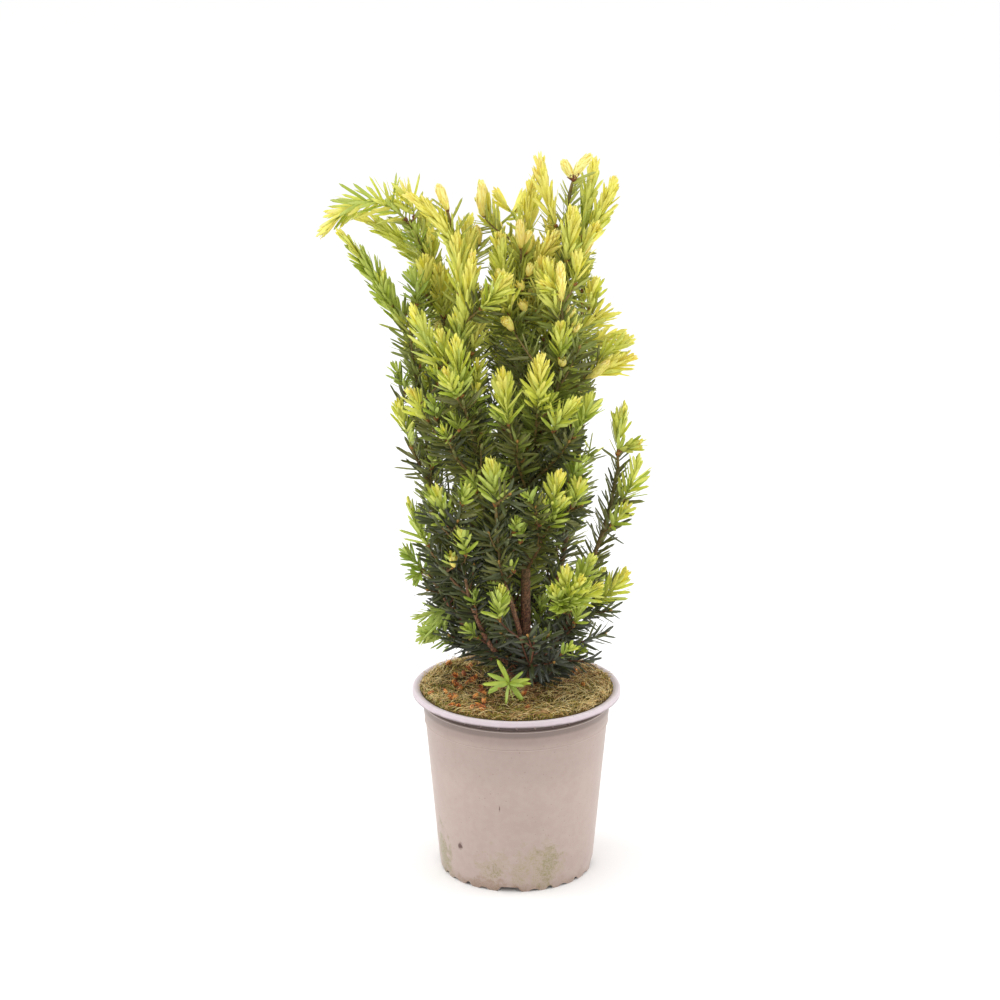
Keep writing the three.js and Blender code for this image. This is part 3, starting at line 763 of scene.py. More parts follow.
def inBoxes(places, boxes):
    # whether each place lies in one of the boxes, as looked into from where the camera stands
    eye = np.array(studio["cameraAt"])
    depth = places[:, 1]
    seen = (eye + (places - eye) * (-eye[1] / (depth - eye[1]))[:, None]) / mm
    inside = np.zeros(len(places), bool)
    for left, right, low, high, *depths in boxes:
        front, back = depths or growth["through"]
        across = (left < seen[:, 0]) & (seen[:, 0] < right)
        level = (low < seen[:, 2]) & (seen[:, 2] < high)
        inside |= across & level & (front * mm < depth) & (depth < back * mm)
    return inside


def bareLength(stem):
    # how far up a limb its first twigs and needles stand
    return growth["limbBareTo"].get(stem.facts["name"], growth["limbBare"]) * mm


def hasRoom(tip, room):
    # whether a twig may end at a place: inside the plant, above the soil, off the limbs and out of the gaps
    low, high = cadBounds
    edge = growth["clearOfEdge"] * mm
    inside = zone("leftReach", tip[2]) * mm + edge < tip[0] < zone("rightReach", tip[2]) * mm - edge
    inside = inside and low[1] - 2 * mm < tip[1] < high[1] - 8 * mm
    level = (growth["soil"] + growth["lowTwig"]) * mm < tip[2] < growth["topTwig"] * mm
    clear = room.find(tip)[2] > growth["twigRoom"] * mm and not inBoxes(tip[None], growth["gaps"])[0]
    return inside and level and clear


def growTwigs(parents, room, random):
    radii = tuple(radius * mm for radius in growth["twigRadii"])
    twigs = []
    for parent in parents:
        facts = parent.facts
        if facts["name"] in growth["twigless"]:
            continue
        isLimb = "fresh" not in facts
        rule = "limbTwigEvery" if isLimb else "twigEvery"
        place = bareLength(parent) if isLimb else growth["twigFirst"] * mm
        end = parent.length - facts.get("fresh", 0) - growth["twigLast"] * mm
        turn = random.uniform(0, 2 * math.pi)
        while place < end:
            foot, tangent = parent.at(place), parent.along(place)
            out = squareTo(tangent, np.array(turn))
            stray = random.uniform(-growth["leanStray"], growth["leanStray"])
            lean = math.radians(zone("twigLean", foot[2]) + stray)
            length = zone("twigLength", foot[2]) * random.uniform(*growth["lengthStray"]) * mm
            heading = unit(tangent * math.cos(lean) + out * math.sin(lean) + skyward * growth["lift"])
            tip = foot + heading * length * 0.85 + unit(tangent + skyward * 0.8) * length * 0.3  # turns up
            if hasRoom(tip, room):
                line = bent(foot, foot + heading * length * 0.55, tip, 12)
                fresh = 0
                form = "old"
                shaded = inBoxes(tip[None], growth["shade"])[0]
                if random.random() < zone("freshChance", tip[2]) and not shaded:
                    fresh = zone("freshShare", tip[2]) * random.uniform(0.85, 1.1) * length
                    isHigh = tip[2] > growth["fingersAbove"] * mm
                    form = random.choice(["open"] * 7 + ["closed"]) if isHigh else "green"
                    fresh = min(fresh, growth["longestFinger"] * mm) if form == "closed" else fresh
                twig = Stem(line, radii, name=facts["name"], form=form)
                twig.facts["fresh"] = min(fresh, 0.9 * twig.length)
                twigs.append(twig)
            place += zone(rule, foot[2]) * mm * random.uniform(0.75, 1.25)
            turn += goldenTurn + random.uniform(-0.4, 0.4)
    return twigs


def kdOf(places):
    tree = KDTree(len(places))
    for k, place in enumerate(places):
        tree.insert(place, k)
    tree.balance()
    return tree


# Needles

needleRings = np.array([0.0, 0.12, 0.5, 0.87])
needleHalfWidths = np.array([0.36, 0.82, 1.0, 0.78])
needleDepths = np.array([0.9, 0.9, 1.0, 0.65])


def girthAt(share):
    return np.interp(share, [0, 0.35, 0.8, 1], fingerGirth) * mm


def needlesAlong(stem, start, end, kind, random, spread):
    # one batch of needles on a stretch of stem: where each roots, where it points and how big it is
    long, wide, thick, pitch, (firstLean, lastLean), bend, shortEnd = needleKinds[kind]
    count = int((end - start) / (pitch * mm))
    if count < 1:
        return None
    share = (np.arange(count) + 0.5) / count
    place = start + (end - start) * share
    if kind == "open":
        firstLean = zone("openLean", stem.at(end)[2])
    # from the first needle's lean to the last's; a closed shoot keeps near the first for longer
    lean = firstLean + (lastLean - firstLean) * share ** (3 if kind == "closed" else 1.2)
    lean = np.radians(lean * spread + random.normal(0, 4.5, count))
    turn = goldenTurn * np.arange(count) + random.uniform(0, 6.28) + random.normal(0, 0.22, count)
    tangent = stem.along(place)
    slant = 1 - abs(tangent[:, 2:])  # 1 on a level shoot, 0 on an upright one
    out = unit(squareTo(tangent, turn) * (1 - slant * skyward * growth["levelParting"]))
    out = unit(without(out, tangent))
    if kind == "old":
        outward = stem.at(place) * (1 - skyward)
        outward[:, 1] += np.where(outward[:, 1] > 0, 1, -1) * growth["outwardPull"] * mm
        up = growth["facingUp"] * slant
        face = unit(unit(outward) * (1 - up) + skyward * up)
        out = unit(without(without(out, face, growth["parting"]), tangent))
    along = tangent * np.cos(lean)[:, None] + out * np.sin(lean)[:, None]
    upper = tangent * np.sin(lean)[:, None] - out * np.cos(lean)[:, None]
    if kind == "old":
        upper = unit(without(upper + face * growth["facing"], along))
    side = np.cross(along, upper)
    twist = {"closed": (0, 0.12), "old": (0.25, 0.3)}.get(kind, (0.7, 0.25))
    roll = (random.choice([-1, 1], count) * random.normal(*twist, count))[:, None]
    side, upper = side * np.cos(roll) + upper * np.sin(roll), upper * np.cos(roll) - side * np.sin(roll)
    shape = np.interp(share, [0, 0.2, 0.5, 1], [0.8, 1, 1, shortEnd])
    if kind in ("open", "green"):
        shape = shape * np.interp(end - start, [8 * mm, 45 * mm], [0.62, 1])  # smaller on a small shoot
    shape = shape * zone("needleLength", stem.at(start)[2])
    girth = girthAt(share) if kind == "closed" else 0
    return {
        "root": stem.at(place) + out * (stem.radius(place) * 0.55 + girth)[:, None],
        "along": along,
        "side": side,
        "upper": upper,
        "length": long * mm * shape * random.uniform(0.86, 1.08, count),
        "width": wide * mm * random.uniform(0.88, 1.1, count) * np.interp(share, [0, 0.7, 1], [1, 1, 0.86]),
        "share": share,
        "thickness": np.full(count, thick * mm),
        "bend": bend + random.normal(0, 0.035, count),
        "sickle": random.normal(0, 0.03, count),
    }


def keepClear(batch, tree, radii):
    # leaves out the needles that would run through a limb or the soil, or close a gap
    def reached(share):
        return batch["root"] + batch["along"] * (batch["length"] * share)[:, None]

    keep = ~inBoxes(reached(0.6), growth["gaps"])
    for share in (0.5, 0.8, 1.0):
        for k, place in enumerate(reached(share)):
            if keep[k]:
                _, index, away = tree.find(place)
                keep[k] = away > radii[index] + growth["needleRoom"] * mm and place[2] > growth["soil"] * mm
    return {key: values[keep] for key, values in batch.items()}


def addNeedles(heap, batch):
    # every needle of a batch at once, as rings of four points that close in a pointed tip
    count = len(batch["length"])
    rings = len(needleRings)
    length, width, thickness = (batch[key][:, None] for key in ("length", "width", "thickness"))
    reach = length * needleRings
    curl = batch["bend"][:, None] * length * needleRings**2
    sway = batch["sickle"][:, None] * length * needleRings**2

    def placed(reach, curl, sway):
        parts = ((batch["along"], reach), (batch["upper"], curl), (batch["side"], sway))
        return batch["root"][:, None] + sum(axis[:, None] * size[..., None] for axis, size in parts)

    middle = placed(reach, curl, sway)
    half = (width / 2 * needleHalfWidths)[..., None] * batch["side"][:, None]
    deep = (thickness / 2 * needleDepths)[..., None] * batch["upper"][:, None]
    margins = middle + deep * 0.35
    points = np.stack([margins - half, middle + deep, margins + half, middle - deep], axis=2)
    tips = placed(length, batch["bend"][:, None] * length, batch["sickle"][:, None] * length)
    points = np.concatenate([points.reshape(count, rings * 4, 3), tips], axis=1)

    ring = np.arange(rings - 1)[:, None] * 4
    here, onward = np.arange(4), (np.arange(4) + 1) % 4
    quads = np.stack([ring + here, ring + 4 + here, ring + 4 + onward, ring + onward], axis=-1).reshape(-1, 4)
    quadSlots = np.tile([0, 0, 1, 1], rings - 1)
    last = (rings - 1) * 4
    triangles = [(last + a, rings * 4, last + b) for a, b in zip(here, onward)] + [(0, 1, 2), (0, 2, 3)]
    triangleSlots = np.array([0, 0, 1, 1, 1, 1])
    starts = np.arange(count)[:, None, None] * (rings * 4 + 1)
    heap.add(
        points.reshape(-1, 3),
        (quads + starts).reshape(-1, 4),
        (np.array(triangles) + starts).reshape(-1, 3),
        np.tile(quadSlots, count),
        np.tile(triangleSlots, count),
    )


def marginRuns(count):
    # numbers the two margins of each needle, so that only they are sharp
    return np.tile(np.append(np.tile([1, 0, 2, 0], len(needleRings)), 0), count)


# Each tint, from young to old: the needle's upper side, its paler underside, how rough it is, and its slot.
tints = {
    "creamYellow": ((251, 230, 132), (248, 229, 140), 0.55, "fresh_foliage"),
    "lemon": ((246, 225, 102), (243, 224, 116), 0.52, "fresh_foliage"),
    "limeYellow": ((230, 220, 90), (229, 220, 106), 0.5, "fresh_foliage"),
    "lime": ((204, 208, 80), (209, 212, 99), 0.48, "fresh_foliage"),
    "springGreen": ((167, 182, 66), (180, 192, 90), 0.46, "fresh_foliage"),
    "leafGreen": ((150, 170, 63), (166, 183, 87), 0.45, "fresh_foliage"),
    "oliveLime": ((158, 163, 63), (175, 180, 89), 0.44, "old_foliage"),
    "midGreen": ((118, 128, 51), (144, 152, 80), 0.42, "old_foliage"),
    "olive": ((98, 100, 46), (132, 134, 80), 0.4, "old_foliage"),
    "darkGreen": ((72, 79, 44), (114, 120, 82), 0.38, "old_foliage"),
    "deepGreen": ((58, 61, 45), (106, 110, 91), 0.36, "old_foliage"),
    "blueGreen": ((60, 64, 56), (108, 114, 104), 0.34, "old_foliage"),
}
tintNames = list(tints)
tintLimits = {  # the youngest and the oldest tint that each kind of needle may take, and how much they stray
    "closed": (0, 4, 0.24),
    "open": (0, 4, 0.24),
    "arch": (0, 4, 0.8),
    "star": (0, 5, 0.24),
    "green": (0, 5, 0.24),
    "old": (6, 11, 0.45),
}
sideTones = [(-160, 0.3), (-50, 0.1), (100, -0.15)]  # x, and how many tints greener the shoots are there
sprayTones = {  # how many tints greener some sprays are
    "far_left_leader": 0.7,
    "arching": 0.1,
    "back_left_leader": 0.5,
    "crown_tip": -1.0,
    "right_arm_side": -0.6,
    "low_right": -0.4,
    "left_inner": 0.8,
    "left_front": 0.6,
    "left_outer": 0.4,
    "crown_right": 0.6,
    "middle_leader": -0.3,
    "middle_front": -0.4,
    "right_upper": -0.3,
    "right_middle": -0.3,
}
slender = {"right_arm": 0.62}  # how far the fresh needles of some sprays spread
mostNeedles = 6500  # in one piece, which keeps it under 200,000 triangles


def needleMaterial(name, colour, rough):
    material, tree, shader = startMaterial(name)
    warm = [min(255, part * 1.12 + 4) for part in colour]
    skin = addMottles(tree, paint(*colour), [(warm, 90, 0.12, 0.7)])
    grain = {"Scale": 900.0, "Roughness": rough, "Roughness Spread": 0.25}
    finishSurface(tree, shader, skin, grain, 0.06 * mm)
    return material


def tintNeedles(batch, stem, hue, kind, random):
    # which tint each needle takes: by what its spray is, how high it grows and how far along its shoot
    count = len(batch["length"])
    tip = stem.at(stem.length)[2]
    height = np.clip((tip / mm - 200) / 460, 0, 1)  # 0 near the moss, 1 at the top
    youngest, oldest, stray = tintLimits[kind]
    jitter = random.normal(0, stray, count)
    if kind == "closed":
        level = 1.5 - 0.8 * batch["share"] - 0.6 * height
    elif kind in ("open", "arch"):
        level = 3.9 - 1.1 * batch["share"] - 1.5 * batch["share"] ** 5 - 2.9 * (height - 0.5)
    elif kind == "star":
        level = np.full(count, 5.0)
    elif kind == "green":
        level = 5.1 - 1.4 * batch["share"]
    else:
        level = zone("oldTone", tip) - 0.5 * batch["share"]
    return np.clip(np.round(level + hue + jitter).astype(int), youngest, oldest)


def growNeedles(stems, limbStems, random):
    shares = np.linspace(0, 1, 60)
    tree = kdOf(np.concatenate([stem.at(shares * stem.length) for stem in limbStems]))
    radii = np.concatenate([stem.radius(shares * stem.length) for stem in limbStems])
    batches = {name: [] for name in tintNames}
    byMass = {}
    for stem in stems:
        facts = stem.facts
        name = facts["name"]
        fresh = facts.get("fresh", 0)
        isLimb = stem in limbStems
        bare = bareLength(stem) if isLimb else growth["shootBare"] * mm
        if name in growth["footBare"]:
            bare = growth["footBare"][name] * stem.length
        sections = [("old", bare, stem.length - fresh)]
        if fresh and facts["form"] != "old":
            sections.append((facts["form"], stem.length - fresh, stem.length + 0.5 * mm))
        elif not isLimb:
            sections = [("old", bare, stem.length)]
        side = np.interp(stem.at(stem.length)[0] / mm, *zip(*sideTones))
        hue = np.clip(random.normal(0, 0.35), -0.6, 0.6) + side + sprayTones.get(name, 0)
        for kind, start, end in sections:
            spread = slender.get(name, 1.0) if kind != "old" else random.uniform(0.85, 1.05)
            batch = needlesAlong(stem, start, end, kind, random, spread)
            if batch is None:
                continue
            if kind not in ("closed", "star"):
                batch = keepClear(batch, tree, radii)
            numbers = tintNeedles(batch, stem, hue, kind, random)
            for number in np.unique(numbers):
                chosen = numbers == number
                batches[tintNames[number]].append({key: values[chosen] for key, values in batch.items()})
                if "spray_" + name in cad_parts:
                    tally = byMass.setdefault("spray_" + name, np.zeros(len(tintNames)))
                    tally[number] += chosen.sum()
    return batches, byMass


def makeNeedlePieces(batches, byMass):
    total = 0
    for number, name in enumerate(tintNames):
        parts = [part for part in batches[name] if len(part["length"])]
        if not parts:
            continue
        whole = {key: np.concatenate([part[key] for part in parts]) for key in parts[0]}
        count = len(whole["length"])
        total += count
        upper, under, rough, slot = tints[name]
        materials = [
            needleMaterial(name + "Needle", upper, rough),
            needleMaterial(name + "NeedleUnder", under, rough + 0.12),  # the underside is duller
        ]
        pieceCount = math.ceil(count / mostNeedles)
        bounds = np.linspace(0, count, pieceCount + 1).astype(int)
        for k in range(pieceCount):
            chosen = {key: values[bounds[k] : bounds[k + 1]] for key, values in whole.items()}
            heap = Heap()
            addNeedles(heap, chosen)
            label = f"needles_{name}" + (f"_{k + 1}" if pieceCount > 1 else "")
            piece = heap.make(label, materials, marginRuns(len(chosen["length"])))
            masses = [node for node, tally in byMass.items() if tally.argmax() == number]
            if k == 0 and masses:
                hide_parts(*masses)
        print(f"  {name}: {count} needles in {pieceCount}")
    print("needles:", total)


# Bark and twigs


def barkRelief(place):
    # long flakes and small leaf scars
    long = noise.fractal(Vector((place.x * 420, place.y * 420, place.z * 110)), 0.8, 2.1, 4)
    scars = noise.fractal(place * 900, 0.7, 2.0, 2)
    return (0.42 * long + 0.18 * scars) * mm


def barkMaterial():
    material, tree, shader = startMaterial("redBrownBark")
    flakes, pits = ((206, 154, 120), 330, 0.06, 0.55), ((62, 38, 32), 560, 0.07, 0.8)
    skin = addMottles(tree, paint(164, 102, 76), [((134, 98, 76), 160, 0.1, 1), flakes, pits])
    young = addRange(tree, objectHeight(tree), 240 * mm, 340 * mm)
    skin = mixColours(tree, young, skin, paint(104, 94, 52))
    grain = {"Scale": 700.0, "Stretch": (1, 1, 0.3), "Roughness": 0.8, "Roughness Spread": 0.2}
    finishSurface(tree, shader, skin, grain, 0.5 * mm)
    return material


def twigMaterial(name, colour, other, low=None):
    # low is the colour that it turns to near the ground
    material, tree, shader = startMaterial(name)
    skin = addMottles(tree, paint(*colour), [(other, 300, 0.12, 1)])
    if low:
        share = addRange(tree, objectHeight(tree), 360 * mm, 250 * mm)
        skin = mixColours(tree, share, skin, paint(*low))
    grain = {"Scale": 800.0, "Stretch": (1, 1, 0.4), "Roughness": 0.62, "Roughness Spread": 0.2}
    finishSurface(tree, shader, skin, grain, 0.2 * mm)
    return material


# How many sides the tubes have, how far apart their rings are, and what a closed shoot adds to its girth.
stemSkin = {"limbSides": 13, "limbRing": 3, "twigSides": 6, "twigRing": 5, "fingerSides": 9, "fingerPad": 0.5}


def makeStems(limbStems, shoots, twigs):
    heap = Heap()
    for stem in limbStems:
        rings = max(8, int(stem.length / (stemSkin["limbRing"] * mm)))
        places = np.linspace(0, 1, rings) ** 1.2 * stem.length
        if stem.facts["name"] != "trunk":
            places = places[places > 1.5 * mm]
        addTube(heap, stem.at(places), stem.radius(places), stemSkin["limbSides"], barkRelief)
    bark = heap.make("barkStems", [barkMaterial()])
    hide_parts(*[stem.facts["name"] for stem in limbStems])

    heap = Heap()
    for stem in shoots + twigs:
        rings = max(4, int(stem.length / (stemSkin["twigRing"] * mm)))
        places = np.linspace(0, stem.length, rings)
        fresh = stem.facts["fresh"]
        split = np.searchsorted(places, stem.length - fresh) if stem.facts["form"] != "old" else rings
        split = int(np.clip(split, 2, rings))
        addTube(heap, stem.at(places[:split]), stem.radius(places[:split]), stemSkin["twigSides"])
        if stem.facts["form"] == "closed":
            share = np.linspace(0, 1, 8)
            girth = girthAt(share) + stemSkin["fingerPad"] * mm
            addTube(heap, stem.at(stem.length - fresh * (1 - share)), girth, stemSkin["fingerSides"], slot=2)
        elif rings - split >= 1:
            ends = places[split - 1 :]
            addTube(heap, stem.at(ends), stem.radius(ends) * 0.92, stemSkin["twigSides"], slot=1)
    materials = [
        twigMaterial("oliveTwig", (124, 114, 58), (136, 106, 64), (112, 70, 50)),
        twigMaterial("greenTwig", (146, 162, 66), (176, 180, 86)),
        twigMaterial("youngCore", (248, 226, 122), (240, 218, 104)),
    ]
    heap.make("twigs", materials)


# Buds and their scales

budScale = {
    "length": 3.9,
    "width": 2.5,
    "count": 6,
    "lean": (10, 30),
    "thickness": 0.3,
    "cups": {"crown_tip": [(0, 1.5), (3, 1.35)]},  # how far onward each cup of scales stands, and its size
}
restingBud = {"length": 3.8, "radius": 1.25, "sides": 7, "rings": 6}


def addScale(heap, root, along, side, length, width, slot):
    # one cupped scale: two rows of quads outside and two inside, closed round the edge
    upper = np.cross(side, along)
    shares = np.array([0.0, 0.55, 1.0])
    halves = np.array([0.6, 1.0, 0.2]) * width / 2
    cup = np.array([0.0, 0.24, 0.04]) * width
    points = []
    for share, half, lift in zip(shares, halves, cup):
        middle = root + along * length * share + upper * lift
        low = middle - upper * lift * 0.8
        points += [low - side * half, middle, low + side * half]
    outer = np.array(points)
    points = np.concatenate([outer, outer - upper * budScale["thickness"] * mm])
    quads = []
    for row in range(2):
        for corner in (row * 3, row * 3 + 1):
            quads.append((corner, corner + 1, corner + 4, corner + 3))
            quads.append((corner + 9, corner + 12, corner + 13, corner + 10))
        quads.append((row * 3, row * 3 + 3, row * 3 + 12, row * 3 + 9))
        quads.append((row * 3 + 2, row * 3 + 11, row * 3 + 14, row * 3 + 5))
    for column in range(2):
        quads.append((column, column + 9, column + 10, column + 1))
        quads.append((column + 6, column + 7, column + 16, column + 15))
    heap.add(points, quads, quadSlots=slot)


def scaleWays(along, number, leans, random):
    # for one of the scales about a line: which way is out, where it points and where its side is
    out = squareTo(along, np.array(goldenTurn * number + random.uniform(0, 0.5)))
    lean = math.radians(random.uniform(*leans))
    heading = along * math.cos(lean) + out * math.sin(lean)
    return out, heading, unit(np.cross(out, heading))


def addScaleCup(heap, place, along, radius, random, size):
    # overlapping scales about a young shoot's foot
    length, width = budScale["length"] * mm * size, budScale["width"] * mm * size
    for k in range(budScale["count"]):
        out, heading, side = scaleWays(along, k, budScale["lean"], random)
        root = place + out * radius * 0.8 - along * random.uniform(0.5, 2.2) * mm * size
        reach = length * random.uniform(0.8, 1.1)
        addScale(heap, root, heading, side, reach, width, int(random.random() < 0.35))


def makeBuds(shoots, twigs, random):
    scales, buds = Heap(), Heap()
    for stem in shoots + twigs:
        fresh = stem.facts["fresh"]
        if fresh and stem.facts["form"] != "old":
            start = stem.length - fresh
            for onward, size in budScale["cups"].get(stem.facts["name"], [(0, 0.95)]):
                place = start + onward * mm
                addScaleCup(scales, stem.at(place), stem.along(place), stem.radius(start), random, size)
        else:
            along = stem.along(stem.length)
            shares = np.linspace(0, 1, restingBud["rings"])
            points = stem.at(stem.length) + along * ((shares - 0.15) * restingBud["length"] * mm)[:, None]
            bulge = np.sqrt(np.maximum(0.02, 1 - (1.9 * shares - 0.75) ** 2 * 0.75))
            radii = restingBud["radius"] * mm * bulge * np.interp(shares, [0, 0.6, 1], [1, 1, 0.25])
            addTube(buds, points, radii, restingBud["sides"])
    materials = [
        twigMaterial("orangeBudScale", (206, 146, 84), (184, 118, 66)),
        twigMaterial("brownBudScale", (156, 100, 66), (128, 80, 58)),
    ]
    scales.make("budScales", materials)
    buds.make("restingBuds", [twigMaterial("restingBud", (190, 134, 66), (134, 118, 58))])


# The pot

pot = {
    "height": 174,
    "rimRadius": 95,
    "mouthRadius": 87.8,
    "neckRadius": 83,
    "ledgeRadius": 85.6,
    "bandRadius": 83.6,
    "wallTopRadius": 83,
    "wallFootRadius": 71,
    "footRadius": 69.6,
    "wall": 1.6,
    "rimFoot": 168.6,
    "neckFoot": 160.9,
    "bandFoot": 142,
    "step": 0.7,
    "footBand": 9,
    "floor": 6,
    "bossRadius": 20,
    "bossSlope": 4,
    "lipRadius": 2.4,
    "turns": 480,
    "ribs": 32,
    "ribWidth": 0.6,  # degrees
    "ribHeight": 1.7,
    "wideNotch": (23, 15, 4.4),  # width at the foot, width at its top, height
    "smallNotch": (9, 2.5, 3.4),
    "shallowNotch": (12, 4, 2.1),
    "notchTurn": -5.4,
    "smallNotchTurns": (19, 31, 43, 56.5, 70),
    "drainRadius": 5,
    "drainRing": 47,
    "drains": 8,
}
algae, darkAlgae, soilBrown, chipBrown = (150, 142, 88), (120, 120, 58), (140, 112, 88), (86, 56, 50)
potStainsAndPaintedShade = [  # real stains, then painted shade: place, reach, strength, raggedness, its scale, grit and tone
    ((22, -68, 24), (27, 20, 26), 0.5, 0.9, 110, 0.75, algae),
    ((27, -66, 22), (9, 20, 24), 0.55, 1.1, 160, 0.7, darkAlgae),
    ((34, -62, 33), (7, 20, 9), 0.5, 1.2, 260, 0.6, darkAlgae),
    ((-16, -70, 22), (24, 20, 20), 0.4, 1.1, 120, 0.8, algae),
    ((-20, -68, 20), (8, 20, 9), 0.5, 1.2, 240, 0.8, darkAlgae),
    ((-66, -28, 22), (14, 16, 34), 0.75, 0.9, 130, 0.5, darkAlgae),
    ((34, 64, 22), (42, 24, 26), 0.5, 1.1, 120, 0.7, algae),
    ((-50, 56, 30), (30, 24, 36), 0.45, 1.1, 120, 0.8, algae),
    ((0, 0, 0), (132, 132, 14), 0.5, 0.5, 90, 0.4, soilBrown),
    ((-26, -66, 3), (44, 24, 10), 0.6, 1.0, 140, 0.5, soilBrown),
    # the neck in the recess under the lip, darker with dirt and with painted shade
    ((0, 0, 165), (400, 400, 5.6), 0.94, 0.12, 60, 0, (70, 52, 46)),
    # painted shadow: a dark line right under the lip
    ((0, 0, 168.4), (400, 400, 2.4), 0.5, 0.3, 70, 0, (70, 42, 36)),
    # painted shade under the ledge, strongest just below it and fading down the body
    ((0, 0, 158), (400, 400, 5), 0.5, 0.1, 40, 0, (88, 72, 68)),
    ((0, 0, 156), (400, 400, 13), 0.26, 0.1, 40, 0, (96, 80, 76)),
    # painted shade: the upper half of the body darker towards the ledge
    ((0, 0, 141), (400, 400, 46), 0.12, 0.1, 30, 0, (104, 88, 84)),
    ((-51, -53, 38), (2.6, 8, 4.6), 0.95, 0.5, 300, 0, chipBrown),
    ((-15.5, -75, 84), (0.7, 8, 3.4), 0.85, 0.4, 300, 0, chipBrown),
]
edgeHighlightPaint = (205, 190, 182)  # painted highlight along the edges of the band and of the ledge


def arc(centre, radius, start, end, steps):
    turns = np.radians(np.linspace(start, end, steps))
    return [(centre[0] + radius * math.cos(turn), centre[1] + radius * math.sin(turn)) for turn in turns]


def potProfile():
    # radius and height round the wall's section: from the middle of the underside up the outside,
    # then down inside
    wall, floor, step, lip = pot["wall"], pot["floor"], pot["step"], pot["lipRadius"]
    boss, foot, wallFoot = pot["bossRadius"], pot["footRadius"], pot["wallFootRadius"]
    wallTop, bandRadius, ledge = pot["wallTopRadius"], pot["bandRadius"], pot["ledgeRadius"]
    neck, rim, mouth, top = pot["neckRadius"], pot["rimRadius"], pot["mouthRadius"], pot["height"]
    footBand, band, neckFoot, rimFoot = pot["footBand"], pot["bandFoot"], pot["neckFoot"], pot["rimFoot"]
    profile = [(0, 0), (boss, 0), (boss + pot["bossSlope"], floor), (foot - 2 * wall, floor)]
    profile += [(foot - wall, 0.4), (foot - wall + 0.4, 0), (foot - 0.4, 0), (foot, 0.4)]
    profile += [(wallFoot - 0.25, footBand - 0.5), (wallFoot, footBand + 0.3)]
    for share in np.linspace(0.1, 1, 12):
        profile.append((wallFoot + (wallTop - wallFoot) * share, footBand + (band - footBand) * share))
    profile += [(wallTop + 0.15, band + 0.1), (bandRadius + 0.35, band + 0.4)]
    profile += [(bandRadius + 0.35, band + step + 0.1), (bandRadius, band + step + 0.5)]
    profile += [(ledge - 0.1, neckFoot - 0.8), (ledge, neckFoot - 0.2)]
    profile += [(ledge - 0.5, neckFoot + 0.2), (neck, neckFoot + step + 0.1)]
    profile += [(neck, height) for height in np.linspace(neckFoot + 2, rimFoot - 0.4, 5)]
    profile += [(neck + 0.6, rimFoot + 0.9), (rim - 2.6, rimFoot + 1.0), (rim - 1.9, rimFoot + 0.8)]
    profile += [(rim - 1.7, rimFoot + 0.3), (rim - 1.2, rimFoot), (rim - 0.4, rimFoot + 0.1)]
    profile += [(rim, rimFoot + 0.6)]
    profile += arc((rim - lip, top - lip), lip, 8, 90, 9)
    profile += [(rim - 3.8, top - 0.05), (rim - 5.0, top - 0.4), (mouth + 1.5, top - 0.9)]
    profile += arc((mouth + 1.3, top - 2.1), 1.1, 95, 175, 5)
    profile += [(neck - wall + 1, rimFoot - 2), (neck - wall, rimFoot - 5), (neck - wall, neckFoot)]
    profile += [(wallTop - wall - 0.5, band), (wallFoot - wall, floor + wall)]
    profile += [(boss + pot["bossSlope"], floor + wall), (boss, wall), (0, wall)]
    return profile


def notchHeight(turn, radius):
    # how high the foot ring is cut away at a turn from the front, in degrees
    height = 0
    for quarter in range(4):
        centre = pot["notchTurn"] + 90 * quarter
        cuts = [(centre, pot["wideNotch"])]
        for k, onward in enumerate(pot["smallNotchTurns"]):
            cuts.append((centre + onward, pot["smallNotch" if k % 2 else "shallowNotch"]))
        for middle, (width, topWidth, rise) in cuts:
            away = abs((turn - middle + 180) % 360 - 180)
            offset = math.radians(away) * radius
            slope = (width / 2 - offset) / max(0.3, (width - topWidth) / 2)
            height = max(height, rise * min(1, max(0, slope)))
    return height


def potMaterial(name, body, other, worn):
    material, tree, shader = startMaterial(name)
    colour = addMottles(tree, paint(*body), [(other, 22, 0.2, 0.8), (worn, 140, 0.09, 0.22)])
    dust = useGroup(tree, "specks", {"Scale": 420.0, "Radius": 0.22, "Share": 0.07})["Mask"]
    colour = mixColours(tree, addMath(tree, "MULTIPLY", dust, 0.35), colour, paint(120, 98, 84))
    # the pot's real stains, and painted shade under the lip, under the ledge and down the upper body
    colour = addPatches(tree, colour, potStainsAndPaintedShade)
    level = objectHeight(tree)
    # painted highlights: pale thin lines on the band's step and the ledge's edge
    for line, strength in ((pot["bandFoot"] + pot["step"] / 2, 0.4), (pot["neckFoot"] - 0.2, 0.6)):
        near = addMath(tree, "ABSOLUTE", addMath(tree, "SUBTRACT", level, line * mm))
        share = addRange(tree, near, 0.8 * mm, 0.2 * mm, strength)
        colour = mixColours(tree, share, colour, paint(*edgeHighlightPaint))
    grain = {"Scale": 650.0, "Roughness": 0.5, "Roughness Spread": 0.22}
    finishSurface(tree, shader, colour, grain, 0.12 * mm)
    shader.inputs["Sheen Weight"].default_value = 0.22
    shader.inputs["Sheen Roughness"].default_value = 0.35
    return material


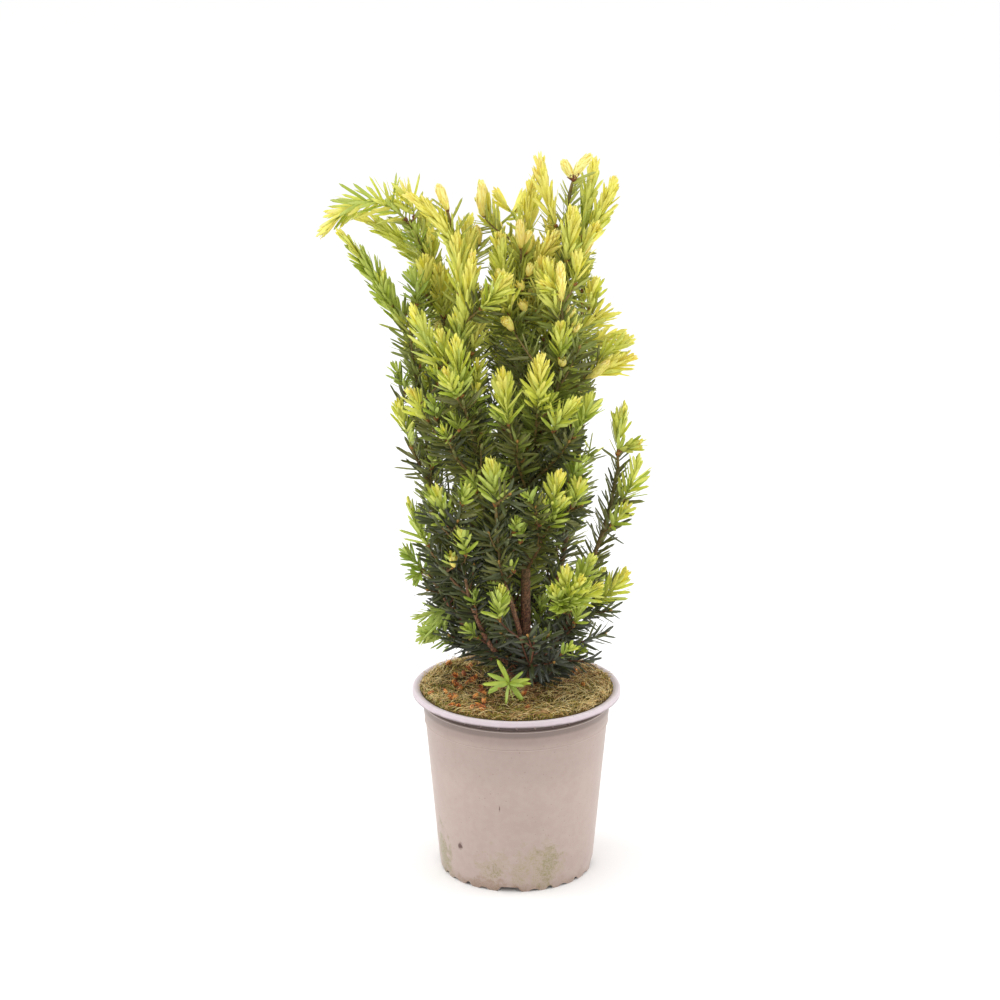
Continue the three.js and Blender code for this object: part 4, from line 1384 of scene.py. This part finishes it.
def makePot():
    profile = np.array(potProfile())
    turns = pot["turns"]
    ring = np.arange(turns) * 2 * math.pi / turns
    degrees = np.degrees(ring)
    ribGap = 360 / pot["ribs"]
    ribs = abs((degrees + ribGap / 2) % ribGap - ribGap / 2) < pot["ribWidth"] / 2
    notches = np.array([notchHeight(turn, pot["footRadius"]) for turn in degrees])
    rows = profile[1:-1]
    radii = np.repeat(rows[:, :1], turns, axis=1)
    heights = np.repeat(rows[:, 1:], turns, axis=1)
    inNeck = (rows[:, 0] < pot["neckRadius"] + 0.1) & (rows[:, 1] > pot["neckFoot"] + 1.5)
    inNeck &= (rows[:, 1] < pot["rimFoot"]) & (rows[:, 0] > pot["neckRadius"] - 0.1)
    radii[inNeck] += ribs * pot["ribHeight"]
    onFoot = (rows[:, 0] > pot["bossRadius"] + pot["bossSlope"] + 1) & (rows[:, 1] < 1)
    heights[onFoot] = np.maximum(heights[onFoot], notches)
    ring = ring - math.pi / 2  # the count of turns starts at the front
    rings = np.stack([radii * np.cos(ring), radii * np.sin(ring), heights], axis=-1)
    ends = np.array([(0, 0, profile[0, 1]), (0, 0, profile[-1, 1])])
    heap = Heap()
    addSkin(heap, rings * mm, ends * mm)
    materials = [
        potMaterial("taupePlastic", (179, 159, 150), (171, 151, 142), (188, 171, 163)),
        potMaterial("paleLip", (211, 197, 203), (201, 186, 192), (222, 210, 215)),
        # the ribs in the recess under the lip: a darker copy of the body's colour, painted shade
        twigMaterial("shadedRib", (148, 130, 124), (132, 114, 108)),
        # a paler copy of the lip for its upward faces: painted light on the top
        potMaterial("lipTopPaintedLight", (225, 212, 217), (216, 202, 208), (233, 222, 227)),
    ]
    piece = heap.make("potShell", materials)
    cutDrains(piece)
    mesh = piece.data
    for polygon in mesh.polygons:
        reach = math.hypot(polygon.center.x, polygon.center.y)
        onLip = polygon.center.z > (pot["rimFoot"] - 0.3) * mm and reach > (pot["neckRadius"] + 0.8) * mm
        onRib = pot["neckFoot"] + 1.2 < polygon.center.z / mm < pot["rimFoot"]
        onRib = onRib and pot["neckRadius"] + 0.8 < reach / mm < pot["ledgeRadius"] - 0.4
        # the lip's upward faces take the paler copy, painted light
        onTop = onLip and polygon.normal.z > 0.75
        polygon.material_index = 3 if onTop else 1 if onLip else 2 if onRib else 0
    mesh.set_sharp_from_angle(angle=math.radians(38))
    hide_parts("pot")


def cutDrains(piece):
    cutters = Heap()
    for k in range(pot["drains"]):
        turn = (k + 0.5) / pot["drains"] * 2 * math.pi
        x, y = pot["drainRing"] * math.cos(turn), pot["drainRing"] * math.sin(turn)
        line = np.array([(x, y, pot["floor"] - 2), (x, y, pot["floor"] + pot["wall"] + 2)]) * mm
        addTube(cutters, line, [pot["drainRadius"] * mm] * 2, 32)
    cutter = cutters.make("drainCutter", [])
    modifier = piece.modifiers.new("drains", "BOOLEAN")
    modifier.operation = "DIFFERENCE"
    modifier.object = cutter
    modifier.solver = "EXACT"
    depsgraph = bpy.context.evaluated_depsgraph_get()
    cut = bpy.data.meshes.new_from_object(piece.evaluated_get(depsgraph))
    piece.modifiers.clear()
    piece.data = cut
    bpy.data.objects.remove(cutter)


# The moss

moss = {
    "edge": 172.9,
    "brow": 174.1,
    "browRadius": 85.8,
    "shoulder": 174.6,
    "shoulderRadius": 64,
    "crown": 175.8,
    "crownRadius": 32,
    "wallRadius": 88.2,
    "depth": 26,
    "rings": 96,
    "turns": 220,
    "lumps": 1.8,
    "tufts": 3.8,
    "crumbs": 0.6,
    "tuft": {"count": 5400, "length": (3.5, 10), "rise": (30, 86), "stray": 1.6, "points": 4},
    "fibre": {"count": 1500, "length": (9, 24), "rise": (10, 48), "stray": 0.9, "points": 5},
    "rimRise": (15, 62),  # how steeply fibres rise near the rim, except in front
    "strandRadius": 0.23,
    "strandReach": 90.5,  # a strand that would end further out turns inwards
    "onLip": (87.3, 173.4),  # beyond this radius a strand rests at this height, on the pot's lip
    "patches": [  # the barer soil, in the same way as the pot's stains
        ((10, -6, 175), (46, 40, 20), 0.7, 0.5, 120, 0, (122, 86, 58)),
        ((50, 22, 172), (36, 30, 20), 0.7, 0.5, 120, 0, (122, 86, 58)),
        ((-40, 14, 174), (28, 32, 20), 0.7, 0.5, 120, 0, (58, 38, 25)),
    ],
    # where strands are fewer, browner and drier: place and reach in x and y, and how much so
    "sparse": ((-40, 12), (22, 30), 0.62),
    "brown": [((50, 30), (36, 40), 1.0), ((0, 0), (40, 34), 0.8)],
    "dry": [((-78, 0), (26, math.inf), 3.2), ((70, 0), (30, math.inf), 3.2), ((46, -50), (20, 22), 2.4)],
    "fresher": ((0, 75), (70, 20), 0.7),  # less dry, at y and at -y
    "husks": [(-65, 44), (-42, 28), (-45, 37), (-54, 10), (-47, 12), (-54, 1), (-39, 5), (-56, -9), (-47, -5)]
    + [(-37, -4), (-54, -16), (-32, -16), (-36, -24), (-32, -32), (-81, -28), (-63, -34), (-39, -42)]
    + [(-59, -44), (-58, -39), (-52, -38), (-56, -58), (-51, -59), (-42, -70), (-29, -59), (-32, -57)]
    + [(-30, -73), (-27, -68), (8, -66), (4, -36), (30, 40), (52, 22), (18, 62), (-8, 58), (-26, 66)]
    + [(60, -4)],
    "seed": 5,
}
strandTints = {
    "mossGreen": ((186, 182, 66), (116, 114, 38)),
    "mossOlive": ((224, 190, 96), (138, 108, 46)),
    "straw": ((255, 242, 184), (238, 202, 124)),
    "tan": ((240, 194, 130), (182, 132, 86)),
    "rust": ((186, 118, 80), (120, 72, 50)),
}
husk = {"length": 6.9, "width": 3.0, "radius": 1.5, "scales": 7, "lean": (-4, 20), "lift": 2.0}


def mossTop(x, y):
    # the height of the moss over a place, in metres
    radius = math.hypot(x, y) / mm
    reach = [0, moss["crownRadius"], moss["shoulderRadius"], moss["browRadius"], moss["wallRadius"]]
    levels = [moss["crown"], moss["crown"], moss["shoulder"], moss["brow"], moss["edge"]]
    height = np.interp(radius, reach, levels) * mm
    lumps = noise.fractal(Vector((x * 70, y * 70, 3.1)), 0.7, 2.2, 4)
    crumbs = noise.fractal(Vector((x * 420, y * 420, 8.3)), 0.6, 2.1, 3)
    tufts = abs(noise.fractal(Vector((x * 150, y * 150, 5.9)), 0.7, 2.1, 2))
    uneven = moss["lumps"] * lumps + moss["tufts"] * (0.35 - tufts) + moss["crumbs"] * crumbs
    return height + uneven * np.interp(radius, [80, 88], [1, 0.35]) * mm  # smoother at the rim


def mossMaterial():
    material, tree, shader = startMaterial("mossMat")
    layers = [((118, 112, 40), 60, 0.1, 1), ((44, 32, 18), 420, 0.12, 0.86)]
    colour = addMottles(tree, paint(122, 96, 46), layers)
    colour = addPatches(tree, colour, moss["patches"])
    grain = {"Scale": 1100.0, "Roughness": 0.95, "Roughness Spread": 0.08}
    finishSurface(tree, shader, colour, grain, 1.2 * mm)
    return material


def makeMoss():
    rings, turns = moss["rings"], moss["turns"]
    radii = moss["wallRadius"] * np.sqrt(np.arange(1, rings + 1) / rings) * mm
    ring = np.arange(turns) * 2 * math.pi / turns
    x, y = radii[:, None] * np.cos(ring), radii[:, None] * np.sin(ring)
    z = np.array([mossTop(a, b) for a, b in zip(x.ravel(), y.ravel())]).reshape(x.shape)
    rows = np.stack([x, y, z], axis=-1)
    slope = (pot["wallTopRadius"] - pot["wallFootRadius"]) / (pot["bandFoot"] - pot["footBand"])
    skirtRadius = moss["wallRadius"] - 6
    skirts = []  # the side of the mat, down inside the pot
    for drop in (8, moss["depth"]):
        radius = (skirtRadius - slope * drop) * mm
        level = np.full(turns, (moss["edge"] - drop) * mm)
        skirts.append(np.stack([radius * np.cos(ring), radius * np.sin(ring), level], axis=-1))
    rows = np.concatenate([rows, np.array(skirts)])
    ends = [(0, 0, mossTop(0, 0)), (0, 0, (moss["edge"] - moss["depth"]) * mm)]
    heap = Heap()
    addSkin(heap, rows, ends, turned=True)
    piece = heap.make("mossMat", [mossMaterial()])
    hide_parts("peat")


def hill(x, y, place, reach, height):
    # a height at a place, which falls off smoothly over a reach
    x, y = x / mm, y / mm
    return height * math.exp(-(((x - place[0]) / reach[0]) ** 2) - ((y - place[1]) / reach[1]) ** 2)


def tintWeights(x, y, isFibre):
    # how likely each tint of strand is at a place
    brown = max(hill(x, y, *spot) for spot in moss["brown"])
    dry = 1 + sum(hill(x, y, *spot) for spot in moss["dry"])
    dry *= 1 - hill(x, abs(y), *moss["fresher"])
    green = np.clip(0.5 + 1.1 * noise.noise(Vector((x * 42, y * 42, 4.4))), 0.05, 1)
    weights = np.array([3.8 * green, 1.5, 0.7 * (1.2 - green) * dry, 0.5, 0.15])
    if isFibre:
        weights = np.array([0.05, 0.5, 1.9 * dry, 0.9, 0.15])
    weights = weights * (1 - brown) + np.array([0.1, 0.5, 1.3, 2.0, 0.6]) * brown
    return weights / weights.sum()


def makeStrands(random):
    # moss in short tufts, and the long dry fibres that lie over it
    heaps = {name: Heap() for name in strandTints}
    names = list(strandTints)
    lipRadius, lipLevel = (size * mm for size in moss["onLip"])
    for k in range(moss["tuft"]["count"] + moss["fibre"]["count"]):
        isFibre = k >= moss["tuft"]["count"]
        facts = moss["fibre" if isFibre else "tuft"]
        reach = random.uniform(0.9, 1) if k % 6 == 0 else math.sqrt(random.uniform(0, 1))  # denser at the rim
        radius = moss["wallRadius"] * reach * mm * 0.995
        turn = random.uniform(0, 2 * math.pi)
        x, y = radius * math.cos(turn), radius * math.sin(turn)
        if random.random() < hill(x, y, *moss["sparse"]):
            continue
        root = np.array([x, y, mossTop(x, y) - 0.5 * mm])
        length = random.uniform(*facts["length"]) * mm
        swirl = noise.noise(Vector((x * 28, y * 28, 1.7))) * 4 - 0.9
        heading = swirl + random.normal(0, facts["stray"])
        rise = math.radians(random.uniform(*facts["rise"]))
        if isFibre and y > -30 * mm and radius > 70 * mm:
            rise = math.radians(random.uniform(*moss["rimRise"]))
        out = np.array([math.cos(heading), math.sin(heading), 0])
        flat = np.array([x, y, 0])
        if np.linalg.norm(flat + out * length * math.cos(rise)) > moss["strandReach"] * mm:
            out = unit(out - unit(flat))
        middle = root + (out * math.cos(rise) + skyward * math.sin(rise)) * length * 0.55
        tip = root + out * length * math.cos(rise) + skyward * length * (math.sin(rise) * 0.55 - 0.04)
        rest = lipLevel if np.hypot(tip[0], tip[1]) > lipRadius else mossTop(tip[0], tip[1])
        tip[2] = max(tip[2], rest + 0.3 * mm)
        share = np.linspace(0, 1, facts["points"])
        radii = moss["strandRadius"] * mm * random.uniform(0.75, 1.3) * (1.05 - share**2 * 0.75)
        name = names[random.choice(len(names), p=tintWeights(x, y, isFibre))]
        addTube(heaps[name], bent(root, middle, tip, facts["points"]), radii, 3)
    for name, heap in heaps.items():
        colour, other = strandTints[name]
        heap.make("strands_" + name, [twigMaterial(name, colour, other)])


def makeHusks(random):
    # fallen buds, small rosettes of scales about a core, most of them in the front left of the pot
    heap = Heap()
    for x, y in moss["husks"]:
        x, y = (x + random.uniform(-1, 1)) * mm, (y + random.uniform(-1, 1)) * mm
        tilt = random.uniform(0, 2 * math.pi)
        along = unit(np.array([math.cos(tilt), math.sin(tilt), random.uniform(0.1, 1.2)]))
        place = np.array([x, y, mossTop(x, y) + husk["lift"] * mm])
        size = random.uniform(0.85, 1.2)
        shares = np.linspace(0, 1, 5)
        core = place + along * (shares * husk["length"] * size * 0.8 * mm)[:, None]
        addTube(heap, core, husk["radius"] * size * mm * np.array([0.45, 0.9, 1.0, 0.75, 0.2]), 7, slot=1)
        for k in range(husk["scales"]):
            out, heading, side = scaleWays(along, k, husk["lean"], random)
            root = place + out * husk["radius"] * 0.55 * size * mm + along * random.uniform(0, 1.6) * mm
            length = husk["length"] * random.uniform(0.6, 0.85) * size * mm
            width = husk["width"] * size * mm
            addScale(heap, root, heading, side, length, width, int(random.random() < 0.4))
    materials = [
        twigMaterial("orangeHusk", (250, 184, 100), (228, 142, 68)),
        twigMaterial("brownHusk", (186, 104, 54), (126, 66, 36)),
    ]
    heap.make("fallenHusks", materials)


# The whole

buildStudio()
print("studio built")
random = np.random.default_rng(growth["seed"])
limbStems = layOutLimbs()
limbList = list(limbStems.values())
shoots = layOutShoots(limbStems)
youngShoots = layOutSideShoots(limbList + shoots)
room = kdOf(np.concatenate([stem.at(np.linspace(0.25, 1, 24) * stem.length) for stem in limbList + shoots]))
twigs = growTwigs(limbList + shoots, room, random)
print("stems:", len(limbList), "limbs,", len(shoots), "shoots,", len(youngShoots), "side shoots")
print("twigs:", len(twigs))
makeStems(limbList, shoots, youngShoots + twigs)
makeBuds(shoots, youngShoots + twigs, np.random.default_rng(growth["seed"] + 1))
random = np.random.default_rng(growth["seed"] + 2)
batches, byMass = growNeedles(limbList + shoots + youngShoots + twigs, limbList, random)
makeNeedlePieces(batches, byMass)
makePot()
print("pot built")
mossRandom = np.random.default_rng(moss["seed"])
makeMoss()
makeStrands(mossRandom)
makeHusks(mossRandom)
print("moss built")
triangles = sum(len(face.vertices) - 2 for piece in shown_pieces() for face in piece.data.polygons)
print("triangles:", triangles)
